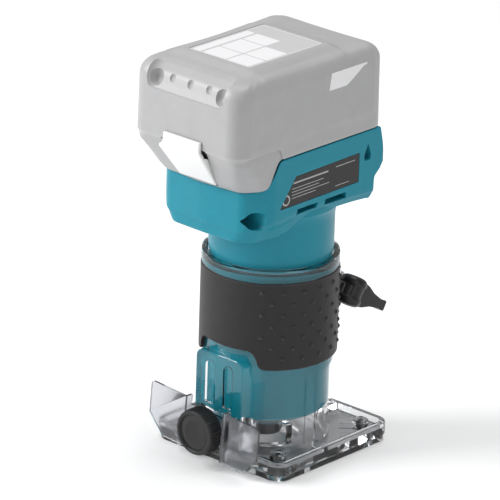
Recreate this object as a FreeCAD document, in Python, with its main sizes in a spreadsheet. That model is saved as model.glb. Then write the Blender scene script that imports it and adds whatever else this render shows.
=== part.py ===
"""Battery trim router: motor unit, clear clamp base, slide-on battery pack and everything inside them.

Millimetres, +Z up.  The origin is on the spindle axis in the plane of the sole.  -Y is the front, where
the thumb screw and the pack's release button are, and +Y is the back, where the base's clamp lever is.
"""
import FreeCAD, Part
import math
import os

import Sketcher

Vector = FreeCAD.Vector
Rotation = FreeCAD.Rotation

doc = FreeCAD.newDocument("trim_router")
sheet = doc.addObject("Spreadsheet::Sheet", "sheet")

DIMENSIONS = {
    # base
    "plate_half_width": 45.2,
    "plate_front": 38.9,
    "plate_back": 50.8,
    "plate_corner": 8.0,
    "plate_top": 10.7,
    "plate_border": 3.2,
    "recess_floor": 7.4,
    "sole_thickness": 3.4,
    "floor_top": 6.4,
    "cutter_hole_radius": 15.0,
    "foot_screw_x": 32.5,
    "foot_screw_front": 26.0,
    "foot_screw_back": 40.0,
    "foot_screw_radius": 1.5,
    "foot_screw_head_radius": 3.3,
    "foot_screw_cover": 1.5,
    "floor_hole_radius": 18.0,
    "chip_window_outer": 29.0,
    "tube_bore": 31.18,
    "tube_radius": 33.3,
    "collar_radius": 34.7,
    "collar_bottom": 50.0,
    "rim_radius": 36.7,
    "rim_bottom": 103.7,
    "rim_top": 111.0,
    "rim_bore": 33.6,
    "clamp_slit": 3.0,
    "sleeve_radius": 36.9,
    "sleeve_bottom": 55.1,
    "sleeve_arch": 65.2,
    "sleeve_arch_half": 19.6,
    "column_half": 16.5,
    "column_face": 38.4,
    "column_top": 60.0,
    "rib_half": 3.2,
    "channel_half": 9.4,
    "channel_depth": 3.4,
    "bracket_shoulder": 4.5,
    "boss_radius": 7.0,
    "insert_radius": 4.2,
    "insert_back": 36.9,
    "thumb_height": 21.0,
    "boss_face": 44.8,
    "stud_radius": 2.45,
    "stud_back": 37.6,
    "knob_radius": 12.8,
    "knob_dish_radius": 10.2,
    "knob_front": 57.0,
    "knob_socket": 54.0,
    "knob_back": 47.3,
    "deflector_sheet": 1.4,
    "deflector_half": 13.0,
    "deflector_wing_y": 49.7,
    "deflector_top": 14.3,
    "deflector_bottom": 14.5,
    # clamp lever
    "lug_half": 8.3,
    "lug_bottom": 42.0,
    "lug_top": 97.0,
    "bolt_y": 46.0,
    "bolt_height": 78.6,
    "bolt_radius": 2.5,
    "lever_x": 17.2,
    "lever_tilt": 31.0,
    "cheek_radius": 7.2,
    "cheek_offset": 0.8,
    "cheek_outer": 7.5,
    "cheek_inner": 3.2,
    "lever_pin_radius": 2.0,
    "lever_length": 30.0,
    "bolt_eye_radius": 5.0,
    "cam_washer_radius": 6.8,
    "cam_washer_thickness": 0.8,
    "clamp_washer_radius": 5.2,
    "clamp_washer_thickness": 0.9,
    "clamp_nut_flats": 8.0,
    "clamp_nut_thickness": 4.0,
    # motor unit
    "barrel_radius": 31.1,
    "barrel_bottom": 24.0,
    "barrel_bore": 28.4,
    "neck_radius": 33.2,
    "neck_bottom": 108.6,
    "neck_top": 137.5,
    "lower_bearing_radius": 13.0,
    "lower_bearing_low": 28.5,
    "lower_bearing_high": 36.5,
    "upper_bearing_radius": 11.0,
    "upper_bearing_low": 101.5,
    "upper_bearing_high": 108.5,
    "bracket_low": 98.5,
    "bracket_thickness": 2.8,
    "core_low": 58.0,
    "core_high": 90.0,
    "rotor_bore": 15.2,
    "magnet_radius": 14.5,
    "magnet_bore": 12.4,
    "sensor_board_low": 95.2,
    "sensor_board_thickness": 1.6,
    "fan_radius": 26.0,
    "fan_hub_radius": 9.0,
    "fan_low": 40.5,
    "fan_high": 51.0,
    "shaft_radius": 5.0,
    "shaft_tip_radius": 4.0,
    "shaft_top": 110.0,
    "thread_radius": 7.0,
    "nose_bottom": 9.5,
    "flats_low": 18.8,
    "flats_high": 23.6,
    "collet_bore": 3.0,
    "nut_flats": 17.0,
    "nut_bottom": 7.0,
    "nut_top": 18.5,
    # head
    "head_half_width": 37.5,
    "head_front": 56.0,
    "head_back": 46.0,
    "head_bottom": 133.2,
    "head_top": 177.9,
    "shell_wall": 2.6,
    "recess_half": 31.3,
    "recess_bottom": 160.0,
    "rail_inner": 27.6,
    "rail_low": 168.0,
    "rail_high": 171.5,
    "rail_front": 36.0,
    "rail_back": 38.5,
    "head_corner": 3.0,
    "head_waist": 151.5,
    "case_screw_radius": 1.5,
    "case_screw_head_radius": 3.0,
    "case_screw_seat": 31.5,
    "case_screw_tip": 24.0,
    "case_bore_clearance": 0.1,
    "case_seat_clearance": 0.4,
    "vent_low": 144.8,
    "vent_high": 148.2,
    "left_vent_low": 140.4,
    "left_vent_high": 143.2,
    "switch_low": 147.0,
    "switch_high": 157.0,
    "switch_half": 13.0,
    "tray_low": 139.0,
    "tray_high": 147.0,
    "tray_wall": 1.5,
    "controller_board_low": 142.0,
    "controller_board_high": 143.6,
    "blade_half": 0.4,
    "blade_low": 164.0,
    "blade_high": 174.0,
    # battery
    "pack_half_width": 37.5,
    "pack_front": 70.8,
    "pack_back": 44.1,
    "pack_corner": 8.0,
    "pack_bottom": 178.3,
    "pack_seam": 185.0,
    "pack_top": 227.0,
    "pack_wall": 2.2,
    "pack_edge": 8.5,
    "tray_inset": 1.2,
    "skirt_front": 36.0,
    "scoop_half": 24.5,
    "label_half": 21.0,
    "label_front": 45.0,
    "label_back": 12.0,
    "tongue_back": 19.5,
    "cell_radius": 9.2,
    "cell_length": 65.0,
    "cell_pitch": 19.0,
    "first_cell_y": -47.9,
    "cell_row_low": 194.6,
    "cell_row_high": 213.5,
    "frame_inner": 22.0,
    "frame_outer": 30.0,
    "board_low": 182.0,
    "board_high": 183.6,
    "button_half": 13.0,
    "button_ridge_half": 16.2,
    "latch_back": 51.6,
    "latch_arm_low": 177.0,
    "latch_arm_high": 179.6,
    "button_travel": 3.5,
}


class Size:
    """A number that keeps the sheet expression it came from, so that features can be bound to it."""

    def __init__(self, value, text):
        self.value = value
        self.text = text

    def __add__(self, other):
        return combined(self, "+", other)

    def __radd__(self, other):
        return combined(other, "+", self)

    def __sub__(self, other):
        return combined(self, "-", other)

    def __rsub__(self, other):
        return combined(other, "-", self)

    def __mul__(self, other):
        return combined(self, "*", other)

    def __rmul__(self, other):
        return combined(other, "*", self)

    def __truediv__(self, other):
        return combined(self, "/", other)

    def __neg__(self):
        return combined(0, "-", self)


def number(size):
    return size.value if isinstance(size, Size) else float(size)


def text(size):
    return size.text if isinstance(size, Size) else repr(float(size))


def combined(left, sign, right):
    a = number(left)
    b = number(right)
    value = {"+": a + b, "-": a - b, "*": a * b, "/": a / b if b else 0.0}[sign]
    return Size(value, f"({text(left)} {sign} {text(right)})")


class Dimensions:
    """Every dimension of the sheet, as an attribute with the alias's name."""

    def __init__(self, table):
        for row, (alias, value) in enumerate(table.items(), start=1):
            sheet.set(f"A{row}", alias)
            sheet.set(f"B{row}", str(value))
            sheet.setAlias(f"B{row}", alias)
            setattr(self, alias, Size(value, "sheet." + alias))


D = Dimensions(DIMENSIONS)
doc.recompute()

# ---------------------------------------------------------------- building blocks

TURN = {"x": Rotation(Vector(0, 1, 0), 90), "y": Rotation(Vector(1, 0, 0), -90), "z": Rotation()}
PLANE = {"x": "YZ_Plane", "y": "XZ_Plane", "z": "XY_Plane"}


def bind(item, **sizes):
    for name, size in sizes.items():
        item.setExpression(name, text(size))
    return item


def place(item, x, y, z, rotation=Rotation()):
    item.Placement = FreeCAD.Placement(Vector(number(x), number(y), number(z)), rotation)
    for axis, size in (("x", x), ("y", y), ("z", z)):
        item.setExpression("Placement.Base." + axis, text(size))
    return item


def block(x, y, z):
    """A box from three (low, high) spans."""
    item = doc.addObject("Part::Box", "block")
    bind(item, Length=x[1] - x[0], Width=y[1] - y[0], Height=z[1] - z[0])
    return place(item, x[0], y[0], z[0])


def axis_place(item, along, start, at):
    spot = list(at)
    spot.insert("xyz".index(along), start)
    return place(item, *spot, TURN[along])


def rod(radius, span, at=(0, 0), along="z"):
    """A cylinder over a (low, high) span of one axis, at the other two axes' values."""
    item = doc.addObject("Part::Cylinder", "rod")
    bind(item, Radius=radius, Height=span[1] - span[0])
    return axis_place(item, along, span[0], at)


def cone(low_radius, high_radius, span, at=(0, 0), along="z"):
    item = doc.addObject("Part::Cone", "cone")
    bind(item, Radius1=low_radius, Radius2=high_radius, Height=span[1] - span[0])
    return axis_place(item, along, span[0], at)


def hexagon(flats, span, at=(0, 0), along="z"):
    item = doc.addObject("Part::Prism", "hexagon")
    item.Polygon = 6
    bind(item, Circumradius=flats / math.sqrt(3), Height=span[1] - span[0])
    return axis_place(item, along, span[0], at)


def fused(*items):
    item = doc.addObject("Part::MultiFuse", "fused")
    item.Shapes = list(items)
    return item


def cut(base, *tools):
    item = doc.addObject("Part::Cut", "cut")
    item.Base = base
    item.Tool = tools[0] if len(tools) == 1 else fused(*tools)
    return item


def common(*items):
    item = doc.addObject("Part::MultiCommon", "common")
    item.Shapes = list(items)
    return item


def ring(outer, inner, span, at=(0, 0), along="z"):
    return cut(rod(outer, span, at, along), rod(inner, span, at, along))


def outline(body, plane, corners):
    """A closed sketch whose corners are held to the sheet by their two distances from the origin."""
    sketch = body.newObject("Sketcher::SketchObject", "outline")
    sketch.AttachmentSupport = [(next(f for f in body.Origin.OriginFeatures if f.Role == plane), "")]
    sketch.MapMode = "FlatFace"
    points = [Vector(number(u), number(v), 0) for u, v in corners]
    for start, end in zip(points, points[1:] + points[:1]):
        sketch.addGeometry(Part.LineSegment(start, end))
    for index in range(len(points)):
        sketch.addConstraint(Sketcher.Constraint("Coincident", index, 2, (index + 1) % len(points), 1))
    for index, corner in enumerate(corners):
        for kind, size in zip(("DistanceX", "DistanceY"), corner):
            made = sketch.addConstraint(Sketcher.Constraint(kind, index, 1, number(size)))
            if isinstance(size, Size):
                sketch.setExpression(f"Constraints[{made}]", size.text)
    return sketch


def turned(*corners):
    """A body turned about Z from its (radius, height) corners."""
    body = doc.addObject("PartDesign::Body", "turned")
    sketch = outline(body, "XZ_Plane", corners)
    turn = body.newObject("PartDesign::Revolution", "turn")
    turn.Profile = sketch
    turn.ReferenceAxis = (sketch, ["V_Axis"])
    turn.Angle = 360
    body.Tip = turn
    return body


def prism(along, span, corners, fillets=()):
    """A padded outline over a span of one axis; corners are (y, z), (x, z) or (x, y).

    fillets is a list of (radius, test), where test picks upright edges by their (u, v) place.
    """
    body = doc.addObject("PartDesign::Body", "prism")
    sketch = outline(body, PLANE[along], corners)
    pad = body.newObject("PartDesign::Pad", "pad")
    pad.Profile = sketch
    pad.Reversed = along == "y"
    bind(pad, Length=span[1] - span[0])
    body.Tip = pad
    for radius, test in fillets:
        doc.recompute()
        tip = body.Tip
        names = []
        skip = "xyz".index(along)
        for index, edge in enumerate(tip.Shape.Edges, start=1):
            direction = edge.lastVertex().Point - edge.firstVertex().Point
            if not isinstance(edge.Curve, Part.Line) or abs(direction[skip]) < 0.9 * direction.Length:
                continue
            u, v = [edge.CenterOfMass[i] for i in range(3) if i != skip]
            if test(u, v):
                names.append(f"Edge{index}")
        fillet = body.newObject("PartDesign::Fillet", "fillet")
        fillet.Base = (tip, names)
        bind(fillet, Radius=radius)
        body.Tip = fillet
    start = [0, 0, 0]
    start["xyz".index(along)] = span[0]
    return place(body, *start)


def around(count, make, first=0.0):
    """Copies of a piece about the Z axis, one for each step of a full turn."""
    items = []
    for index in range(count):
        item = make()
        angle = first + 360.0 * index / count
        holder = doc.addObject("Part::Compound", "turned_copy")
        holder.Links = [item]
        holder.Placement = FreeCAD.Placement(Vector(), Rotation(Vector(0, 0, 1), angle))
        items.append(holder)
    return items


def moved(item, x, y, z, rotation):
    """The same piece, carried to a place and turned there."""
    holder = doc.addObject("Part::Compound", "moved")
    holder.Links = [item]
    return place(holder, x, y, z, rotation)


def group(*items):
    """Separate solids that share one node."""
    holder = doc.addObject("Part::Compound", "group")
    holder.Links = list(items)
    return holder


parts = []


def part(label, item):
    item.Label = label
    parts.append(item)
    return item


# ---------------------------------------------------------------- base

def plate_outline(inset):
    side = D.plate_half_width - inset
    front = -D.plate_front + inset
    back = D.plate_back - inset
    return [(-side, front), (side, front), (side, back), (-side, back)]


def foot_places():
    for x in (-D.foot_screw_x, D.foot_screw_x):
        for y in (-D.foot_screw_front, D.foot_screw_back):
            yield x, y


def foot_screw():
    """Countersunk screws that hold the sole plate, heads just above the sole's face."""
    head_low = 0.4
    head_high = 2.2
    screws = []
    for place_xy in foot_places():
        head = cone(D.foot_screw_head_radius, D.foot_screw_radius, (head_low, head_high), place_xy)
        shank = rod(D.foot_screw_radius, (head_high, D.plate_top - D.foot_screw_cover), place_xy)
        screws.append(fused(head, shank))
    return group(*screws)


def sole_plate():
    sole_inset = 0.6
    hole = D.foot_screw_radius + 0.1
    sink = D.foot_screw_head_radius + 0.7
    sink_top = 2.5
    plate = prism("z", (0, D.sole_thickness), plate_outline(sole_inset),
                  [(D.plate_corner, lambda x, y: True)])
    holes = [rod(D.cutter_hole_radius, (-1, D.sole_thickness + 1))]
    for place_xy in foot_places():
        holes.append(cone(sink, hole, (0, sink_top), place_xy))
        holes.append(rod(hole, (1, D.sole_thickness + 1), place_xy))
    return cut(plate, *holes)


def base_plate():
    """The upper, clear plate: a border, bosses and ribs round a shallow recess."""
    corner = [(D.plate_corner, lambda x, y: True)]
    inner = [(D.plate_corner - D.plate_border, lambda x, y: True)]
    plate = prism("z", (D.sole_thickness, D.plate_top), plate_outline(0), corner)
    hollow = prism("z", (D.recess_floor, D.plate_top + 1), plate_outline(D.plate_border), inner)
    rib = 1.3
    boss = 5.5
    raised = (D.recess_floor, D.plate_top)
    keep = [rod(boss, raised, place_xy) for place_xy in foot_places()]
    keep.append(rod(D.tube_radius + 1, raised))
    keep.append(block((-D.plate_half_width, D.plate_half_width), (-rib, rib), raised))
    keep.append(block((-D.column_half, D.column_half), (-D.plate_front, 0), raised))
    keep.append(block((-D.lug_half, D.lug_half), (0, D.plate_back), raised))
    return cut(plate, cut(hollow, *keep))


def clear_plate():
    """The plate with the tube's foot in it; the cutter works through the hole in its floor."""
    openings = [rod(D.floor_hole_radius, (0, D.floor_top + 1)),
                rod(D.tube_bore, (D.floor_top, D.plate_top + 1))]
    pilot = (0, D.plate_top - D.foot_screw_cover)
    openings += [rod(D.foot_screw_radius, pilot, place_xy) for place_xy in foot_places()]
    return cut(base_plate(), *openings)


def tube_outside():
    return fused(
        rod(D.tube_radius, (D.plate_top, D.collar_bottom + 5)),
        cone(D.tube_radius, D.collar_radius, (D.collar_bottom - 3, D.collar_bottom)),
        rod(D.collar_radius, (D.collar_bottom, D.rim_bottom + 1)),
        rod(D.rim_radius, (D.rim_bottom, D.rim_top)),
    )


def clear_tube():
    """The clamp tube: split at the back, with two chip windows in front."""
    slit = D.clamp_slit / 2
    behind = (20, 60)
    in_front = (-45, -12)
    window = (D.plate_top - 1, D.barrel_bottom - 0.5)
    return cut(
        tube_outside(),
        rod(D.tube_bore, (D.floor_top, D.rim_top + 1)),
        rod(D.rim_bore, (D.rim_bottom, D.rim_top + 1)),
        block((-slit, slit), behind, (D.collar_bottom - 8, D.rim_top + 1)),
        block((D.column_half, D.chip_window_outer), in_front, window),
        block((-D.chip_window_outer, -D.column_half), in_front, window),
    )


def front_bracket():
    """The ribbed bracket in front of the tube, with its boss for the thumb screw's insert."""
    shoulder = D.bracket_shoulder
    top = D.column_top
    half = D.column_half
    face = [(-half, D.plate_top), (half, D.plate_top), (half, top - shoulder), (half - shoulder, top),
            (-half + shoulder, top), (-half, top - shoulder)]
    body = prism("y", (-D.column_face, -D.tube_bore + 4), face)
    channels = []
    for side in (-1, 1):
        inner = side * D.rib_half
        outer = side * D.channel_half
        low = D.thumb_height + 11
        corners = [(inner, low), (outer, low), (outer, top - 6), (outer - side * 2, top - 4),
                   (inner, top - 4)]
        channels.append(prism("y", (-D.column_face - 1, -D.column_face + D.channel_depth), corners))
    at = (0, D.thumb_height)
    boss = rod(D.boss_radius, (-D.boss_face, -D.column_face + 1), at, "y")
    insert_bore = rod(D.insert_radius, (-D.boss_face - 1, -D.insert_back), at, "y")
    return cut(fused(cut(body, *channels), boss), tube_outside(), insert_bore)


def clamp_lugs():
    """The two ears behind the tube."""
    inside = 30.0
    corners = [(inside, D.lug_bottom), (34.0, D.lug_bottom), (46.0, 64.0), (52.0, 70.5), (53.5, 78.0),
               (51.0, 85.5), (38.0, D.lug_top), (inside, D.lug_top)]
    slit = D.clamp_slit / 2
    return cut(
        prism("x", (-D.lug_half, D.lug_half), corners),
        tube_outside(),
        block((-slit, slit), (20, 60), (40, 100)),
        rod(D.bolt_radius + 0.1, (-20, 20), (D.bolt_y, D.bolt_height), "x"),
    )


def grip_sleeve():
    ring_body = ring(D.sleeve_radius, D.collar_radius, (D.sleeve_bottom, D.rim_bottom))
    arch = D.sleeve_arch_half
    slit = D.clamp_slit / 2
    gap = 0.3
    behind = (0, 45)
    return cut(
        ring_body,
        block((-arch, arch), (-45, 0), (D.sleeve_bottom - 1, D.sleeve_arch)),
        block((-D.lug_half - gap, D.lug_half + gap), behind, (D.sleeve_bottom - 1, D.lug_top + gap)),
        block((-slit, slit), behind, (D.lug_top - 7, D.rim_bottom + 1)),
    )


def chip_deflector():
    """A bent clear sheet: a strap behind the thumb screw, two returns and two wings."""
    thick = D.deflector_sheet
    half = D.deflector_half
    strap_height = 9.0
    strap_y = -D.boss_face - 0.05
    wing_y = -D.deflector_wing_y
    low = -D.deflector_bottom
    high = D.deflector_top
    strap = cut(
        block((-half, half), (strap_y - thick, strap_y), (-strap_height, strap_height)),
        rod(D.stud_radius + 0.55, (strap_y - 5, strap_y + 5), (0, 0), "y"),
    )
    pieces = [strap]
    wing = [(half, low), (28, low), (38.3, -4), (38.3, 10.8), (35.0, high), (half, high)]
    for side in (-1, 1):
        bend = (half, half + thick) if side > 0 else (-half - thick, -half)
        pieces.append(block(bend, (wing_y, strap_y), (low, high)))
        pieces.append(prism("y", (wing_y, wing_y + thick), [(side * u, v) for u, v in wing]))
    tilt = Rotation(Vector(0, 1, 0), 4.0)
    return moved(fused(*pieces), 0, 0, D.thumb_height, tilt)


def column_insert():
    """The threaded insert that the thumb screw runs in."""
    span = (-D.boss_face, -D.insert_back)
    at = (0, D.thumb_height)
    return ring(D.insert_radius, D.stud_radius + 0.05, span, at, "y")


def lever_frame(item):
    """Carries a piece from the lever's own frame (hinge pin along its Z, arm along its Y) to the clamp."""
    turn = Rotation(Vector(1, 0, 0), -number(D.lever_tilt))
    return moved(item, D.lever_x, D.bolt_y, D.bolt_height, turn)


def clamp_bolt():
    at = (D.bolt_y, D.bolt_height)
    shank = rod(D.bolt_radius, (-14.2, D.lever_x - 3), at, "x")
    eye = lever_frame(rod(D.bolt_eye_radius, (-D.cheek_inner + 0.3, D.cheek_inner - 0.3)))
    hole = lever_frame(rod(D.lever_pin_radius, (-5, 5)))
    return cut(fused(shank, eye), hole)


def lever_pin():
    return lever_frame(rod(D.lever_pin_radius, (-D.cheek_outer - 0.2, D.cheek_outer + 0.2)))


def cam_washer():
    span = (D.lug_half, D.lug_half + D.cam_washer_thickness)
    return ring(D.cam_washer_radius, D.bolt_radius, span, (D.bolt_y, D.bolt_height), "x")


def clamp_washer():
    span = (-D.lug_half - D.clamp_washer_thickness, -D.lug_half)
    return ring(D.clamp_washer_radius, D.bolt_radius, span, (D.bolt_y, D.bolt_height), "x")


def clamp_nut():
    inner_face = -D.lug_half - D.clamp_washer_thickness
    span = (inner_face - D.clamp_nut_thickness, inner_face)
    at = (D.bolt_y, D.bolt_height)
    return cut(hexagon(D.clamp_nut_flats, span, at, "x"), rod(D.bolt_radius, span, at, "x"))


def cam_lever():
    """The fork: two cam cheeks on the pin and one tapering arm."""
    outer = D.cheek_outer
    inner = D.cheek_inner
    cheeks = rod(D.cheek_radius, (-outer, outer), (-D.cheek_offset, 0))
    side = prism("x", (-7, 6), [(3, -outer), (12, -6), (22, -3.4), (D.lever_length, -2.8),
                                (D.lever_length, 2.8), (22, 3.4), (12, 6), (3, outer)])
    top = prism("z", (-9, 9), [(-6.4, 0), (6.0, 0), (3.0, 15), (2.8, D.lever_length),
                               (-2.8, D.lever_length), (-3.6, 15)])
    slot = fused(
        rod(5.8, (-inner, inner)),
        block((-12, 0), (-5.8, 5.8), (-inner, inner)),
        block((-5.8, 12), (-12, 0), (-inner, inner)),
    )
    hole = rod(D.lever_pin_radius + 0.06, (-9, 9))
    return lever_frame(cut(fused(cheeks, common(side, top)), slot, hole))


def thumb_knob():
    at = (0, D.thumb_height)
    dish_depth = 0.9
    body = rod(D.knob_radius, (-D.knob_front, -D.knob_back), at, "y")
    dish = rod(D.knob_dish_radius, (-D.knob_front - 1, -D.knob_front + dish_depth), at, "y")
    bore = rod(D.stud_radius, (-D.knob_socket, -D.knob_back + 1), at, "y")
    return cut(body, dish, bore)


def thumb_stud():
    return rod(D.stud_radius, (-D.knob_socket, -D.stud_back), (0, D.thumb_height), "y")


def thumb_washer():
    """Between the knob and the chip deflector."""
    back = -D.boss_face - D.deflector_sheet - 0.2
    return ring(5.5, D.stud_radius + 0.1, (back - 0.8, back), (0, D.thumb_height), "y")


# ---------------------------------------------------------------- motor unit

def motor_barrel():
    bore = D.barrel_bore
    bottom = D.barrel_bottom
    floor = D.lower_bearing_low
    seat = D.lower_bearing_radius
    seat_wall = 3.5
    seat_top = D.lower_bearing_high
    shaft_hole = 7.7
    chamfer = 1.5
    inner_neck = D.neck_radius - 2.5
    body = turned(
        (shaft_hole, bottom), (D.barrel_radius - chamfer, bottom), (D.barrel_radius, bottom + chamfer),
        (D.barrel_radius, D.neck_bottom - 2.1), (D.neck_radius, D.neck_bottom),
        (D.neck_radius, D.neck_top), (inner_neck, D.neck_top), (inner_neck, D.neck_bottom + 2.4),
        (bore, D.neck_bottom - 0.6), (bore, floor), (seat + seat_wall, floor), (seat + seat_wall, seat_top),
        (seat, seat_top), (seat, floor), (shaft_hole, floor),
    )
    slots = around(12, lambda: block((18.5, 26.5), (-1.3, 1.3), (bottom - 1, floor + 1)))
    return cut(body, *slots)


def bearing_bracket():
    """Carries the upper bearing and parts the motor from the head."""
    low = D.bracket_low
    high = low + D.bracket_thickness
    seat = D.upper_bearing_radius
    seat_low = D.upper_bearing_low
    seat_top = D.upper_bearing_high + 0.3
    outer = D.barrel_bore - 0.05
    hub = seat + 3.2
    lip = 7.0
    body = turned((lip, low), (outer, low), (outer, high), (hub, high), (hub, seat_top), (seat, seat_top),
                  (seat, seat_low), (lip, seat_low))
    through = (low - 1.5, high + 1.7)
    holes = around(6, lambda: rod(4.6, through, (21, 0)))
    return cut(body, lead_slot(through), *holes)


def bearing_outer(outer, seal_outer, inner_clear, low, high):
    """The outer ring with its two seals."""
    seal = 0.6
    body = ring(outer, seal_outer, (low, high))
    lips = [ring(seal_outer, inner_clear, (z, z + seal)) for z in (low + 0.3, high - 0.3 - seal)]
    return fused(body, *lips)


TEETH = 6
TOOTH_HALF = 3.5


def stator_core():
    low = D.core_low
    high = D.core_high
    yoke = ring(D.barrel_bore - 0.02, 22.6, (low, high))
    teeth = around(TEETH, lambda: block((D.rotor_bore + 0.1, 23), (-TOOTH_HALF, TOOTH_HALF), (low, high)))
    return cut(fused(yoke, *teeth), rod(D.rotor_bore, (low - 1, high + 1)))


def stator_windings():
    def coil():
        outside = block((16.6, 21.4), (-6.6, 6.6), (D.core_low - 4, D.core_high + 4))
        gap = 0.1
        tooth = block((16, 23), (-TOOTH_HALF - gap, TOOTH_HALF + gap), (D.core_low - gap, D.core_high + gap))
        return cut(outside, tooth)
    return group(*around(TEETH, coil))


def lead_slot(span):
    """Room for the phase leads through a board or a bracket."""
    return block((-9, 9), (18.2, 22.4), span)


def sensor_board():
    low = D.sensor_board_low
    high = low + D.sensor_board_thickness
    return cut(ring(25.0, 16.0, (low, high)), lead_slot((low - 0.2, high + 0.2)))


def phase_leads():
    """Three stiff leads from the windings up to the controller."""
    return group(*[rod(1.1, (D.core_high + 4.0, 141.9), (x, 20.0 + abs(x) / 10)) for x in (-7, 0, 7)])


def spindle():
    low = D.flats_low
    high = D.flats_high
    collar = 8.0
    shoulder = 6.9
    tip_low = 99.0
    body = turned(
        (5.4, D.nose_bottom), (6.6, D.nose_bottom), (D.thread_radius, D.nose_bottom + 0.4),
        (D.thread_radius, low), (collar, low), (collar, high), (shoulder, high),
        (shoulder, D.lower_bearing_low), (D.shaft_radius, D.lower_bearing_low), (D.shaft_radius, tip_low),
        (D.shaft_tip_radius, tip_low), (D.shaft_tip_radius, D.shaft_top), (0, D.shaft_top),
        (0, 44), (3.2, 42), (3.2, 26), (3.9, 24.5),
    )
    flat = 6.5
    sides = [block(span, (-9, 9), (low, high)) for span in ((flat, 9), (-9, -flat))]
    return cut(body, *sides)


def rotor_core():
    return ring(D.magnet_bore, D.shaft_radius, (D.core_low - 1, D.core_high + 1))


def rotor_magnets():
    tube = ring(D.magnet_radius, D.magnet_bore, (D.core_low, D.core_high))
    gaps = around(4, lambda: block((0, 20), (-0.5, 0.5), (D.core_low - 1, D.core_high + 1)))
    return cut(tube, *gaps)


def cooling_fan():
    """A hub, a disc and eleven swept blades under it."""
    low = D.fan_low
    high = D.fan_high
    blade_half = 0.7
    hub = rod(D.fan_hub_radius, (low, high))
    disc = rod(D.fan_radius, (high - 1.6, high))

    def blade():
        item = block((0, 15.5), (-blade_half, blade_half), (low + 1.5, high - 1))
        return moved(item, D.fan_hub_radius + 0.5, 0, 0, Rotation(Vector(0, 0, 1), 28))
    return cut(fused(hub, disc, *around(11, blade)), rod(D.shaft_radius, (low - 0.5, high + 1)))


def bearing_inner(bore, outer, low, high):
    return ring(outer, bore, (low, high))


def collet():
    """A slotted cone sleeve; it leaves 0.05 mm to the spindle's taper."""
    body = turned((D.collet_bore, 8.2), (5.9, 8.2), (5.9, 9.1), (5.36, 9.2), (3.87, 24.0),
                  (D.collet_bore, 24.0))
    slots = around(3, lambda: block((0, 8), (-0.4, 0.4), (8, 19)))
    return cut(body, *slots)


def collet_nut():
    """A hexagon with chamfered corners, bored for the cutter's shank, the collet's head and the thread."""
    low = D.nut_bottom
    high = D.nut_top
    corner = 9.8
    body = common(
        hexagon(D.nut_flats, (low, high)),
        turned((0, low), (corner - 1.4, low), (corner, low + 1.6), (corner, high - 1),
               (corner - 1, high), (0, high)),
    )
    return cut(
        body,
        rod(4.4, (low - 1, 9)),
        rod(6.0, (8.1, 10)),
        rod(D.thread_radius + 0.06, (9.2, high + 1)),
    )


# ---------------------------------------------------------------- head

def head_form(inset):
    """The head's outer form, or the same form drawn in by a wall's thickness."""
    side = D.head_half_width - inset
    front = -D.head_front + inset
    back = D.head_back - inset
    bottom = D.head_bottom + inset
    top = D.head_top
    waist = D.head_waist
    plan = [(-side, -40 + inset), (-24.5, front + 2.8), (0, front), (24.5, front + 2.8), (side, -40 + inset),
            (side, back), (-side, back)]
    round_corner = [(10.0, lambda x, y: y < -30 and abs(x) > 10), (D.head_corner, lambda x, y: y > 30)]
    front_low = D.recess_bottom + 1.5
    profile = [(30 - inset, bottom), (36.9 - inset, 139.0 + inset), (37.4 - inset, waist),
               (back, waist + 7.4), (41.2 - inset, top), (-34.6, top), (-37.5, 175.6), (-42.8, 165.2),
               (-47.0, 163.0), (-60, front_low), (-60, bottom)]
    body = prism("z", (bottom, top + 2), plan, round_corner)
    rounding = [(3.0, lambda y, z: abs(z - number(waist)) < 1 or z < 140 and y > 0)]
    return common(body, prism("x", (-side - 1, side + 1), profile, rounding))


def screw_boss(y, z):
    return rod(4.0, (-D.head_half_width + 3, D.head_half_width - 3), (y, z), "x")


FRONT_SCREW = (-46.0, 147.0)
BACK_SCREW = (31.5, 165.6)
LOWER_SCREW = (31.5, 145.0)


def head_whole():
    """Both halves of the head as one: walls, recess for the pack, rails, screw bosses and bores."""
    recess = D.recess_half
    side = D.head_half_width
    back = D.rail_back
    room = (D.head_bottom, D.recess_bottom - D.shell_wall)
    cavity = common(head_form(D.shell_wall), block((-side, side), (-70, 60), room))
    cavity = cut(cavity, screw_boss(*FRONT_SCREW), screw_boss(*LOWER_SCREW))
    body = cut(
        head_form(0),
        cavity,
        rod(D.neck_radius, (D.head_bottom - 1, D.neck_top + 0.1)),
        block((-recess, recess), (-60, back), (D.recess_bottom, D.pack_top)),
        block((-7.5, 7.5), (-52.8, -49), (D.recess_bottom - 2, D.recess_bottom + 1)),
    )
    rails = [block(span, (-D.rail_front, back), (D.rail_low, D.rail_high))
             for span in ((D.rail_inner, recess + 1), (-recess - 1, -D.rail_inner))]
    bore = D.case_screw_radius + D.case_bore_clearance
    seat = D.case_screw_head_radius + D.case_seat_clearance
    seat_face = D.case_screw_seat
    tip = D.case_screw_tip + 0.5
    bores = []
    for spot in (FRONT_SCREW, BACK_SCREW):
        bores.append(rod(bore, (-tip, side + 1), spot, "x"))
        bores.append(rod(seat, (seat_face, side + 1), spot, "x"))
    bores.append(rod(bore, (-side - 1, tip), LOWER_SCREW, "x"))
    bores.append(rod(seat, (-side - 1, -seat_face), LOWER_SCREW, "x"))
    lead_hole = block((-12, 12), (14, 30), (D.recess_bottom - 4, D.recess_bottom + 1))
    return cut(fused(body, *rails), lead_hole, *bores)


VENTS = ((-23, -7), (-1.3, 15.2))


def head_shell_right():
    side = D.head_half_width
    plate = [(-36.8, 151.0), (24.9, 151.2), (24.9, 167.4), (-24.6, 166.8)]
    features = [prism("x", (side - 0.7, side + 1), plate)]
    features += [block((side - 4, side + 1), span, (D.vent_low, D.vent_high)) for span in VENTS]
    return cut(common(head_whole(), block((0, 60), (-80, 80), (100, 200))), *features)


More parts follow.
